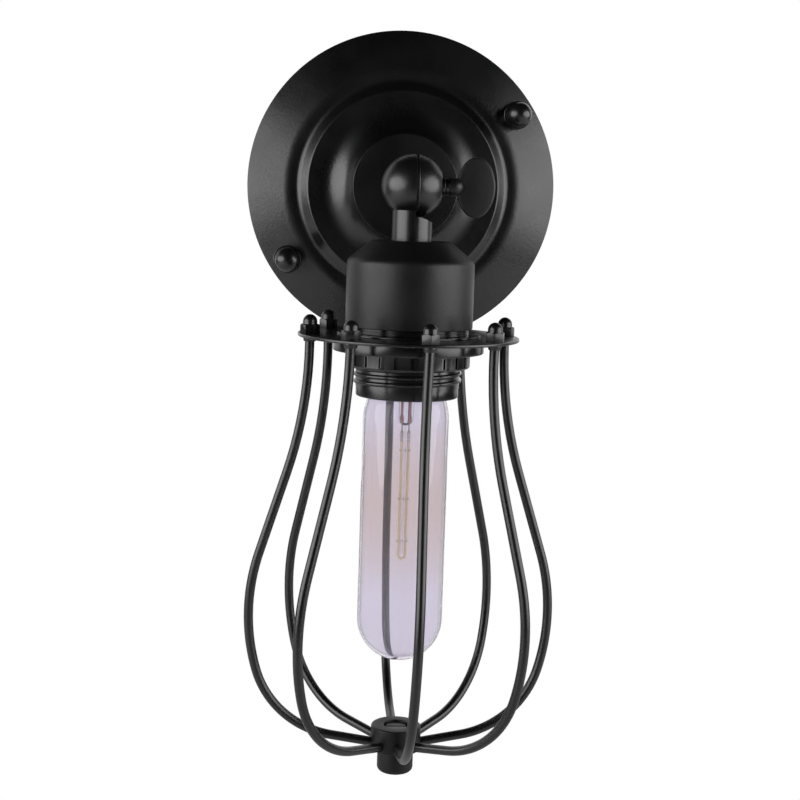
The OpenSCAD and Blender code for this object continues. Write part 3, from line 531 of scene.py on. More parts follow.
class Bench:
    """The tools for modelling a piece: each one drives Blender's own operators."""

    @staticmethod
    def clear() -> None:
        """Leaves edit mode and deselects everything."""
        if bpy.context.object is not None and bpy.context.object.mode != "OBJECT":
            bpy.ops.object.mode_set(mode="OBJECT")
        bpy.ops.object.select_all(action="DESELECT")

    @staticmethod
    def pick(piece: bpy.types.Object) -> None:
        """Selects one piece alone and makes it the active one."""
        Bench.clear()
        piece.select_set(True)
        bpy.context.view_layer.objects.active = piece

    @staticmethod
    def edit(piece: bpy.types.Object, mode: str = "VERT") -> None:
        """Opens a piece in edit mode with everything selected.

        Args:
            piece: The piece to open.
            mode: VERT, EDGE or FACE.
        """
        Bench.pick(piece)
        bpy.ops.object.mode_set(mode="EDIT")
        bpy.ops.mesh.select_mode(type=mode)
        bpy.ops.mesh.select_all(action="SELECT")

    @staticmethod
    def line(points: Sequence[Point3]) -> bpy.types.Object:
        """Draws a chain of edges through points, by extruding one corner onwards.

        Args:
            points: The places in metres.

        Returns:
            The open piece, in edit mode.
        """
        Bench.clear()
        bpy.ops.mesh.primitive_plane_add(size=0.001, location=points[0])
        piece = bpy.context.object
        Bench.edit(piece)
        bpy.ops.mesh.merge(type="CENTER")
        for here, there in zip(points, points[1:]):
            step = Vector(there) - Vector(here)
            bpy.ops.mesh.extrude_vertices_move(TRANSFORM_OT_translate={"value": step})
        return piece

    @staticmethod
    def turned(outline: Sequence[Point2], steps: int = 96, closed: bool = True) -> bpy.types.Object:
        """Turns an outline about +Z, as on a lathe.

        Args:
            outline: (radius, along) points in millimetres.
            steps: How many lengths the full turn has.
            closed: Whether the outline is a ring that comes back to its start.

        Returns:
            The turned piece about the world's Z axis, in object mode.
        """
        points = list(outline)
        if closed:
            points.append(points[0])
        piece = Bench.line([(max(r, 0.0) * MM, 0.0, z * MM) for r, z in points])
        bpy.ops.mesh.select_all(action="SELECT")
        bpy.ops.mesh.spin(steps=steps, angle=math.tau, center=(0, 0, 0), axis=(0, 0, 1))
        return Bench.tidy(piece)

    @staticmethod
    def tidy(piece: bpy.types.Object, limit: float = 1e-7) -> bpy.types.Object:
        """Merges doubles, points the faces outwards and puts the piece's origin at the world's.

        Args:
            piece: The piece.
            limit: How close two corners are to be merged, in metres.

        Returns:
            The same piece, in object mode.
        """
        Bench.edit(piece)
        bpy.ops.mesh.remove_doubles(threshold=limit)
        bpy.ops.mesh.select_all(action="SELECT")
        bpy.ops.mesh.dissolve_degenerate(threshold=limit)
        bpy.ops.mesh.select_all(action="SELECT")
        bpy.ops.mesh.normals_make_consistent(inside=False)
        bpy.ops.object.mode_set(mode="OBJECT")
        bpy.ops.object.transform_apply(location=True, rotation=True, scale=True)
        return piece

    @staticmethod
    def put(
        piece: bpy.types.Object, facing: Facing = Facing.UP, at: Point3 = (0.0, 0.0, 0.0), turn: float = 0.0
    ) -> bpy.types.Object:
        """Turns a piece made about +Z to its direction and moves it to its place.

        Args:
            piece: The piece.
            facing: Where its own +Z goes.
            at: Its place in millimetres.
            turn: A turn about its own axis first, in degrees.

        Returns:
            The same piece.
        """
        Bench.pick(piece)
        own = Matrix.Rotation(math.radians(turn), 4, "Z")
        swing = {
            Facing.UP: Matrix.Identity(4),
            Facing.FROM_WALL: Matrix.Rotation(math.radians(90), 4, "X"),
            Facing.RIGHT: Matrix.Rotation(math.radians(90), 4, "Y"),
        }[facing]
        piece.matrix_world = Matrix.Translation(Vector(at) * MM) @ swing @ own
        bpy.context.view_layer.update()
        bpy.ops.object.transform_apply(location=True, rotation=True, scale=True)
        return piece

    @staticmethod
    def prism(sides: int, radius: float, low: float, high: float, turn: float = 0.0) -> bpy.types.Object:
        """A bar along +Z, raised from a flat outline by one extrusion.

        Args:
            sides: How many sides it has.
            radius: To its corners, in millimetres.
            low: Its lower end.
            high: Its upper end.
            turn: A turn about its axis in degrees.

        Returns:
            The bar, in object mode.
        """
        Bench.clear()
        bpy.ops.mesh.primitive_circle_add(
            vertices=sides,
            radius=radius * MM,
            fill_type="NGON",
            location=(0, 0, low * MM),
            rotation=(0, 0, math.radians(turn)),
        )
        piece = bpy.context.object
        Bench.edit(piece, "FACE")
        bpy.ops.mesh.extrude_region_move(TRANSFORM_OT_translate={"value": (0, 0, (high - low) * MM)})
        return Bench.tidy(piece)

    @staticmethod
    def block(low: Point3, high: Point3) -> bpy.types.Object:
        """A cutter with square corners between two points in millimetres."""
        Bench.clear()
        centre = (Vector(low) + Vector(high)) / 2 * MM
        bpy.ops.mesh.primitive_cube_add(size=1.0, location=centre)
        piece = bpy.context.object
        piece.scale = (Vector(high) - Vector(low)) * MM
        bpy.ops.object.transform_apply(location=True, rotation=True, scale=True)
        return piece

    @staticmethod
    def apply(piece: bpy.types.Object, kind: str, settings: Mapping[str, Any]) -> bpy.types.Object:
        """Adds a modifier, sets it and applies it.

        Args:
            piece: The piece.
            kind: The modifier's type.
            settings: Its property values.

        Returns:
            The same piece.
        """
        Bench.pick(piece)
        bpy.ops.object.modifier_add(type=kind)
        made = piece.modifiers[-1]
        for key, value in settings.items():
            setattr(made, key, value)
        bpy.ops.object.modifier_apply(modifier=made.name)
        return piece

    @staticmethod
    def carve(piece: bpy.types.Object, tool: bpy.types.Object, operation: str = "DIFFERENCE") -> bpy.types.Object:
        """Cuts, joins or trims a piece with a tool, and throws the tool away.

        Args:
            piece: The piece.
            tool: The other solid.
            operation: DIFFERENCE, UNION or INTERSECT.

        Returns:
            The same piece.
        """
        Bench.apply(piece, "BOOLEAN", {"operation": operation, "object": tool, "solver": "EXACT"})
        bpy.data.objects.remove(tool)
        return piece

    @staticmethod
    def soften(piece: bpy.types.Object, width: float, segments: int = 2, angle: float = 30.0) -> bpy.types.Object:
        """Bevels the piece's sharp edges.

        Args:
            piece: The piece.
            width: The bevel's width in millimetres.
            segments: How many faces it has across.
            angle: The smallest angle of an edge that is bevelled, in degrees.

        Returns:
            The same piece.
        """
        return Bench.apply(
            piece,
            "BEVEL",
            {
                "width": width * MM,
                "segments": segments,
                "limit_method": "ANGLE",
                "angle_limit": math.radians(angle),
                "use_clamp_overlap": True,
            },
        )

    @staticmethod
    def together(pieces: Sequence[bpy.types.Object]) -> bpy.types.Object:
        """Joins several shells into the first one's mesh.

        Args:
            pieces: The pieces.

        Returns:
            The first piece.
        """
        Bench.pick(pieces[0])
        for piece in pieces[1:]:
            piece.select_set(True)
        bpy.ops.object.join()
        return pieces[0]

    @staticmethod
    def copies(piece: bpy.types.Object, places: Sequence[Matrix]) -> List[bpy.types.Object]:
        """Copies a piece to several places, each copy with its own mesh, and removes the pattern.

        Args:
            piece: The pattern.
            places: Where each copy goes.

        Returns:
            The copies.
        """
        made = []
        for place in places:
            Bench.pick(piece)
            bpy.ops.object.duplicate(linked=False)
            copy = bpy.context.object
            copy.matrix_world = place
            bpy.context.view_layer.update()
            bpy.ops.object.transform_apply(location=True, rotation=True, scale=True)
            made.append(copy)
        bpy.data.objects.remove(piece)
        return made

    @staticmethod
    def done(
        piece: bpy.types.Object,
        name: str,
        body: Body,
        finish_slot: Slot,
        nodes: Sequence[str],
        smooth: float = 32.0,
        finish: Optional[Finish] = None,
    ) -> bpy.types.Object:
        """Names a finished piece, smooths it, paints it and puts it on its body.

        Args:
            piece: The piece.
            name: Its name.
            body: The body that it rides on.
            finish_slot: The record's slot of its finish.
            nodes: The CAD nodes that it stands for.
            smooth: The largest angle that is shaded smooth, in degrees.
            finish: Its finish, where it isn't the slot's own.

        Returns:
            The same piece.
        """
        Bench.pick(piece)
        bpy.ops.object.shade_smooth_by_angle(angle=math.radians(smooth))
        piece.name = name
        piece.data.name = name
        piece.data.materials.clear()
        piece.data.materials.append((finish or FINISH_OF[finish_slot]).material())
        if nodes:
            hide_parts(*nodes)
        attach(piece, body.value)
        LOG.info("made %s: %d faces on %s", name, len(piece.data.polygons), body.value)
        return piece


def at_pivot(z: float = 0.0, x: float = 0.0) -> Point3:
    """A place on the head's axis or beside it, given from the pivot in millimetres."""
    return (x, -PIVOT_STAND, z)


# Sub-assemblies


@dataclass
class WallCanopy:
    """The pressed canopy on the wall with its two cap nuts."""

    radius: float = 62.0
    sheet: float = 1.2
    rim_h: float = 2.2
    ledge_outer: float = 46.0
    ledge_inner: float = 41.5
    ledge_h: float = 7.6
    dish_r: float = 38.0
    dish_h: float = 11.6
    flange_round: float = 12.0
    ledge_round: float = 3.0
    dish_round: float = 1.0
    cove_r: float = 11.7
    boss_r: float = 20.5
    boss_edge: float = 0.2
    hole_r: float = 5.05
    stud_r: float = 54.5
    stud_angle: float = 33.5
    seat_r: float = 5.6
    seat_top: float = 6.93
    nut_r: float = 4.9
    nut_h: float = 4.6

    def skin(self, inset: float) -> List[Point2]:
        """The half outline of the sheet's face, from the rim to the boss's hole.

        Args:
            inset: How far inside the front face, in millimetres.

        Returns:
            (radius, height) points.
        """
        boss_h = self.dish_h + self.cove_r
        rim = self.radius - inset
        cove_x = self.boss_r + self.cove_r
        outline = eased(
            [
                (rim, 0.0, 0.0),
                (rim, self.rim_h - inset, 0.5),
                (self.ledge_outer, self.ledge_h - inset * 1.07, self.flange_round),
                (self.ledge_inner - inset / 2, self.ledge_h - inset, self.ledge_round),
                (self.dish_r - inset / 2, self.dish_h - inset, self.dish_round),
                (cove_x, self.dish_h - inset, 0.0),
            ],
            steps=8,
        )[:-1]
        limit = math.degrees(math.asin(inset / (self.cove_r + inset))) if inset else 0.0
        outline += arc((cove_x, boss_h), self.cove_r + inset, 270, 180 + limit, 18)[: -1 if not inset else None]
        if not inset:
            edge = self.boss_edge
            outline += arc((self.boss_r - edge, boss_h - edge), edge, 0, 90, 4)
        outline.append((self.hole_r, boss_h - inset))
        return outline

    def shell(self) -> bpy.types.Object:
        """The canopy's sheet, turned with both of its faces."""
        outline = self.skin(0.0) + self.skin(self.sheet)[::-1]
        return Bench.put(Bench.turned(outline, 160), Facing.FROM_WALL)

    def stud_places(self) -> List[Matrix]:
        """Where the two studs stand, each with its own +Z out from the wall."""
        places = []
        for side in (0.0, 180.0):
            turn = math.radians(self.stud_angle + side)
            spot = Vector((math.cos(turn), 0.0, math.sin(turn))) * self.stud_r * MM
            places.append(Matrix.Translation(spot) @ Matrix.Rotation(math.radians(90), 4, "X"))
        return places

    def nuts(self) -> bpy.types.Object:
        """The two domed nuts."""
        top = self.seat_top + self.nut_h
        outline = eased([(0.0, self.seat_top, 0.0), (self.nut_r, self.seat_top, 0.25), (self.nut_r, top, 0.0)])
        outline += arc((0.0, top), self.nut_r, 0, 90, 16)[1:]
        nut = Bench.turned(outline, 48, closed=False)
        return Bench.together(Bench.copies(nut, self.stud_places()))

    def seats(self) -> bpy.types.Object:
        """The two stepped seats, cut to the flange that they stand on."""
        low = self.rim_h - 0.2
        outline = eased(
            [(0.0, low, 0.0), (self.seat_r, low, 0.0), (self.seat_r, self.seat_top, 0.35), (0.0, self.seat_top, 0.0)]
        )
        seats = Bench.together(Bench.copies(Bench.turned(outline, 48, closed=False), self.stud_places()))
        body = self.skin(0.02)
        filled = [(0.0, -2.0), (self.radius, -2.0)] + body[:-1] + [(0.0, body[-1][1])]
        tool = Bench.put(Bench.turned(filled, 160, closed=False), Facing.FROM_WALL)
        return Bench.carve(seats, tool)

    def build(self) -> None:
        """Makes and dresses the canopy's pieces."""
        Bench.done(self.shell(), "canopy_sheet", Body.CANOPY, Slot.SATIN, ["canopy"], 40.0)
        Bench.done(self.nuts(), "canopy_domed_nuts", Body.CANOPY, Slot.GLOSS, ["canopy_cap_nuts"], 40.0)
        Bench.done(self.seats(), "canopy_nut_seats", Body.CANOPY, Slot.SATIN, ["cap_nut_seats"], 30.0)


@dataclass
class Knuckle:
    """The split ball: the neck's half, the stem's half and the washer between them."""

    ball_r: float = 11.6
    neck_r: float = 7.35
    neck_len: float = 38.7
    stem_drop: float = 20.0
    relief_r: float = 13.3
    wall_face: float = 1.4
    head_face: float = 0.7
    flat_x: float = 10.2
    bore_r: float = 2.58
    chamber_r: float = 7.5
    chamber_depth: float = 3.8
    washer_r: float = 11.0
    washer_t: float = 0.6

    def half_ball(self, face: float, end: float) -> bpy.types.Object:
        """One half of the ball, turned about its screw.

        Args:
            face: Where the split's face is along the screw.
            end: Where the ball ends along the screw.

        Returns:
            The half about the world's Z axis.
        """
        side = 1.0 if end > face else -1.0
        start = math.degrees(math.asin(face / self.ball_r))
        stop = math.degrees(math.asin(max(-1.0, min(1.0, end / self.ball_r))))
        skin = arc((0.0, 0.0), self.ball_r, start + side * 1.2, stop, 26)
        skin = [(math.hypot(*skin[0]) - 0.32, face)] + skin
        chamber = face + side * self.chamber_depth
        if side > 0:
            inner = [(self.bore_r, end), (self.bore_r, chamber)]
        else:
            inner = [(0.0, chamber)]
            skin[-1] = (0.0, -self.ball_r)
        ring = skin + inner + [(self.chamber_r, chamber), (self.chamber_r, face)]
        return Bench.turned(ring, 96)

    def neck_half(self) -> bpy.types.Object:
        """The right half of the ball with the neck that goes to the canopy."""
        ball = Bench.put(self.half_ball(self.wall_face, self.flat_x), Facing.RIGHT)
        outline = [(0.0, -self.neck_len), (self.neck_r, -self.neck_len), (self.neck_r, -8.6), (0.0, -8.6)]
        neck = Bench.put(Bench.turned(outline, 72, closed=False), Facing.FROM_WALL)
        relief = Bench.put(
            Bench.prism(128, self.relief_r, -30.0, self.wall_face), Facing.RIGHT
        )
        neck = Bench.carve(neck, relief)
        piece = Bench.carve(ball, neck, "UNION")
        Bench.soften(piece, 0.22, 2, 35.0)
        return Bench.put(piece, Facing.UP, at_pivot())

    def stem_half(self) -> bpy.types.Object:
        """The left half of the ball with the stem that goes down to the cup."""
        ball = Bench.put(self.half_ball(self.head_face, -self.ball_r), Facing.RIGHT)
        outline = [(0.0, -self.stem_drop), (self.neck_r, -self.stem_drop), (self.neck_r, -8.6), (0.0, -8.6)]
        stem = Bench.turned(outline, 72, closed=False)
        relief = Bench.put(Bench.prism(128, self.relief_r, self.head_face, 30.0), Facing.RIGHT)
        stem = Bench.carve(stem, relief)
        piece = Bench.carve(ball, stem, "UNION")
        Bench.soften(piece, 0.22, 2, 35.0)
        return Bench.put(piece, Facing.UP, at_pivot())

    def washer(self) -> bpy.types.Object:
        """The friction washer in the split."""
        low = self.wall_face - self.washer_t
        inner = self.chamber_r + 0.3
        outline = eased(
            [
                (self.washer_r, low, 0.15),
                (self.washer_r, self.wall_face, 0.15),
                (inner, self.wall_face, 0.0),
                (inner, low, 0.0),
            ],
            closed=True,
        )
        return Bench.put(Bench.turned(outline, 96), Facing.RIGHT, at_pivot())

    def build(self) -> None:
        """Makes and dresses the knuckle's pieces."""
        Bench.done(self.neck_half(), "neck_and_half_ball", Body.CANOPY, Slot.SATIN, ["wall_knuckle"], 35.0)
        Bench.done(self.stem_half(), "stem_and_half_ball", Body.HEAD, Slot.SATIN, ["head_knuckle"], 35.0)
        Bench.done(self.washer(), "split_washer", Body.CANOPY, Slot.FIBRE, ["friction_washer"])


@dataclass
class ThumbScrew:
    """The pivot screw with its oval thumb piece and the two washers under it."""

    shank_r: float = 2.5
    tip_x: float = -8.6
    flat_x: float = 10.3
    washer_t: float = 1.2
    spring_t: float = 1.5
    face_gap: float = 0.1
    washer_r: float = 3.5
    spring_r: float = 3.2
    collar_r: float = 3.5
    collar_x: float = 13.1
    collar_h: float = 1.8
    oval_start: float = 1.0
    oval_w: float = 14.2
    oval_len: float = 22.0
    oval_t: float = 2.2
    oval_round: float = 0.8

    def oval(self) -> bpy.types.Object:
        """The flat oval thumb piece with its rounded rim."""
        Bench.clear()
        bpy.ops.mesh.primitive_circle_add(vertices=96, radius=MM, fill_type="NGON", location=(0, 0, -self.oval_t / 2 * MM))
        piece = bpy.context.object
        piece.scale = (self.oval_w / 2, self.oval_len / 2, 1.0)
        Bench.edit(piece, "FACE")
        bpy.ops.mesh.extrude_region_move(TRANSFORM_OT_translate={"value": (0, 0, self.oval_t * MM)})
        Bench.tidy(piece)
        Bench.soften(piece, self.oval_round, 3, 40.0)
        piece.rotation_euler = (math.radians(90), 0.0, 0.0)
        centre = self.collar_x + self.collar_h + self.oval_start + self.oval_w / 2
        piece.location = Vector((centre, 0.0, 0.0)) * MM
        Bench.pick(piece)
        bpy.ops.object.transform_apply(location=True, rotation=True, scale=True)
        return piece

    def screw(self) -> bpy.types.Object:
        """The whole screw: shank, collar, domed boss and oval in one piece."""
        dome_x = self.collar_x + self.collar_h
        outline = eased(
            [
                (0.0, self.tip_x, 0.0),
                (self.shank_r - 0.4, self.tip_x, 0.0),
                (self.shank_r, self.tip_x + 0.5, 0.0),
                (self.shank_r, self.collar_x, 0.0),
                (self.collar_r, self.collar_x, 0.3),
                (self.collar_r, dome_x, 0.0),
            ]
        )
        outline += arc((0.0, dome_x), self.collar_r, 0, 90, 12)[1:]
        shank = Bench.put(Bench.turned(outline, 48, closed=False), Facing.RIGHT)
        piece = Bench.carve(shank, self.oval(), "UNION")
        return Bench.put(piece, Facing.UP, at_pivot())

    def plain_washer(self) -> bpy.types.Object:
        """The flat washer that lies against the ball."""
        outline = eased(
            [
                (self.washer_r, self.flat_x, 0.2),
                (self.washer_r, self.flat_x + self.washer_t, 0.2),
                (self.shank_r + 0.25, self.flat_x + self.washer_t, 0.0),
                (self.shank_r + 0.25, self.flat_x, 0.0),
            ],
            closed=True,
        )
        return Bench.put(Bench.turned(outline, 48), Facing.RIGHT, at_pivot())

    def split_washer(self) -> bpy.types.Object:
        """The split spring washer."""
        low = self.flat_x + self.washer_t + self.face_gap
        outline = eased(
            [
                (self.spring_r, low, 0.2),
                (self.spring_r, low + self.spring_t, 0.2),
                (self.shank_r + 0.25, low + self.spring_t, 0.0),
                (self.shank_r + 0.25, low, 0.0),
            ],
            closed=True,
        )
        ring = Bench.turned(outline, 48)
        Bench.carve(ring, Bench.block((0.0, -0.35, low - 1.0), (6.0, 0.35, low + self.spring_t + 1.0)))
        return Bench.put(ring, Facing.RIGHT, at_pivot())

    def build(self) -> None:
        """Makes and dresses the screw and its washers."""
        Bench.done(self.screw(), "oval_thumb_screw", Body.THUMB, Slot.THUMB, ["thumb_screw"], 35.0)
        Bench.done(self.plain_washer(), "flat_pivot_washer", Body.THUMB, Slot.BLACK_STEEL, ["pivot_washer"])
        Bench.done(self.split_washer(), "split_spring_washer", Body.THUMB, Slot.BLACK_STEEL, ["spring_washer"])


@dataclass
class SocketCup:
    """The spun cup over the lamp socket."""

    top_r: float = 14.6
    radius: float = 23.5
    top: float = -20.0
    shoulder: float = -27.2
    bottom: float = -51.5
    sheet: float = 1.2
    hole_r: float = 5.05

    def build(self) -> None:
        """Turns and dresses the cup."""
        s = self.sheet
        outline = eased(
            [
                (self.hole_r, self.top, 0.0),
                (self.top_r, self.top, 1.2),
                (self.radius, self.shoulder, 3.2),
                (self.radius, self.bottom, 0.3),
                (self.radius - s, self.bottom, 0.3),
                (self.radius - s, self.shoulder - 0.7, 2.4),
                (self.top_r - s * 0.4, self.top - s, 0.4),
                (self.hole_r, self.top - s, 0.0),
            ],
            closed=True,
            steps=5,
        )
        cup = Bench.put(Bench.turned(outline, 128), Facing.UP, at_pivot())
        Bench.done(cup, "spun_socket_cup", Body.HEAD, Slot.SATIN, ["socket_cup"], 40.0, SPUN)


@dataclass
class LampSocket:
    """The moulded socket, whose threaded skirt comes out of the cup."""

    top: float = -31.0
    neck_r: float = 20.4
    flange_r: float = 22.05
    flange_top: float = -45.8
    flange_bottom: float = -53.8
    skirt_r: float = 20.0
    root_r: float = 19.2
    mouth: float = -77.2
    band: float = 3.7
    pitch: float = 2.6
    turns: int = 7
    mouth_r: float = 17.6
    shell_r: float = 13.63
    floor: float = -35.4

    def core(self) -> bpy.types.Object:
        """The turned body without its thread."""
        ring = eased(
            [
                (0.0, self.top, 0.0),
                (self.neck_r, self.top, 1.2),
                (self.neck_r, self.flange_top, 0.0),
                (self.flange_r, self.flange_top, 0.3),
                (self.flange_r, self.flange_bottom, 0.3),
                (self.root_r, self.flange_bottom, 0.0),
                (self.root_r, self.mouth + self.band, 0.0),
                (self.root_r - 0.2, self.mouth + self.band, 0.0),
                (self.root_r - 0.2, self.mouth, 0.7),
                (self.mouth_r, self.mouth, 0.5),
                (self.mouth_r, -58.0, 0.5),
                (self.shell_r, -58.0, 0.0),
                (self.shell_r, -42.0, 0.0),
                (11.0, -42.0, 0.0),
                (11.0, self.floor, 0.5),
                (0.0, self.floor, 0.0),
            ]
        )
        return Bench.turned(ring, 128, closed=False)

    def thread(self) -> bpy.types.Object:
        """The raised thread, one ridge wound up the skirt."""
        foot = self.mouth + self.band + 0.35
        half = self.pitch * 0.36
        ridge = [
            (self.root_r - 0.35, foot - half),
            (self.root_r + 0.12, foot - half * 0.9),
            (self.skirt_r - 0.12, foot - half * 0.5),
            (self.skirt_r, foot - half * 0.22),
            (self.skirt_r, foot + half * 0.22),
            (self.skirt_r - 0.12, foot + half * 0.5),
            (self.root_r + 0.12, foot + half * 0.9),
            (self.root_r - 0.35, foot + half),
        ]
        line = [(r * MM, 0.0, z * MM) for r, z in ridge]
        piece = Bench.line(line + [line[0]])
        bpy.ops.object.mode_set(mode="OBJECT")
        bpy.ops.object.transform_apply(location=True, rotation=True, scale=True)
        Bench.apply(
            piece,
            "SCREW",
            {
                "axis": "Z",
                "angle": math.tau,
                "screw_offset": self.pitch * MM,
                "iterations": self.turns,
                "steps": 72,
                "render_steps": 72,
                "use_merge_vertices": True,
                "merge_threshold": 1e-7,
            },
        )
        Bench.edit(piece, "EDGE")
        bpy.ops.mesh.select_all(action="DESELECT")
        bpy.ops.mesh.select_non_manifold()
        bpy.ops.mesh.edge_face_add()
        Bench.tidy(piece)
        limit = Bench.prism(96, 40.0, self.mouth + self.band - 0.02, self.flange_bottom + 0.2)
        return Bench.carve(piece, limit, "INTERSECT")

    def body(self) -> bpy.types.Object:
        """The whole socket with its thread."""
        piece = Bench.together([self.core(), self.thread()])
        return Bench.put(piece, Facing.UP, at_pivot())

    def build(self) -> None:
        """Makes and dresses the socket."""
        Bench.done(self.body(), "moulded_lamp_socket", Body.HEAD, Slot.PHENOLIC, ["socket_body"], 35.0)


@dataclass
class CageRing:
    """The ring plate with the black gasket above it."""

    radius: float = 40.826
    hole_r: float = 20.25
    top: float = -54.4
    bottom: float = -55.6
    gasket_r: float = 26.5
    gasket_top: float = -53.8

    def build(self) -> None:
        """Turns and dresses the ring plate and the disc."""
        plate = eased(
            [
                (self.radius, self.bottom, 0.35),
                (self.radius, self.top, 0.35),
                (self.hole_r, self.top, 0.15),
                (self.hole_r, self.bottom, 0.15),
            ],
            closed=True,
            steps=3,
        )
        ring = Bench.put(Bench.turned(plate, 144), Facing.UP, at_pivot())
        Bench.done(ring, "cage_ring_plate", Body.HEAD, Slot.SATIN, ["cage_ring"])
        disc = eased(
            [
                (self.gasket_r, self.top, 0.1),
                (self.gasket_r, self.gasket_top, 0.1),
                (self.hole_r, self.gasket_top, 0.0),
                (self.hole_r, self.top, 0.0),
            ],
            closed=True,
        )
        gasket = Bench.put(Bench.turned(disc, 128), Facing.UP, at_pivot())
        Bench.done(gasket, "black_gasket", Body.HEAD, Slot.PHENOLIC, ["gasket"])


@dataclass
class RetainingRing:
    """The grooved plastic ring that screws up under the ring plate."""

    flange_r: float = 28.0
    grip_r: float = 23.0
    bore_r: float = 20.08
    top: float = -55.7
    flange_bottom: float = -60.5
    bottom: float = -66.0
    bevel: float = 0.5
    grooves: int = 24
    groove_w: float = 1.1
    groove_d: float = 0.6

    def cutters(self) -> bpy.types.Object:
        """The set of bars that cut the grooves."""
        low = self.bottom + self.bevel + 0.3
        high = self.flange_bottom - 0.7
        bar = Bench.block((self.grip_r - self.groove_d, -self.groove_w / 2, low), (self.grip_r + 2.0, self.groove_w / 2, high))
        turns = [Matrix.Rotation(math.radians(i * 360.0 / self.grooves - 90.0), 4, "Z") for i in range(self.grooves)]
        return Bench.together(Bench.copies(bar, turns))

    def build(self) -> None:
        """Turns, grooves and dresses the ring."""
        outline = eased(
            [
                (self.bore_r, self.bottom, 0.2),
                (self.grip_r - self.bevel, self.bottom, 0.3),
                (self.grip_r, self.bottom + self.bevel, 0.35),
                (self.grip_r, self.flange_bottom, 0.4),
                (self.flange_r, self.flange_bottom, 0.6),
                (self.flange_r, self.top, 0.4),
                (self.bore_r, self.top, 0.2),
            ],
            closed=True,
            steps=4,
        )
        ring = Bench.turned(outline, 144)
        Bench.carve(ring, self.cutters())
        Bench.put(ring, Facing.UP, at_pivot())
        Bench.done(ring, "grooved_retaining_ring", Body.RING, Slot.PHENOLIC, ["retaining_ring"], 32.0)


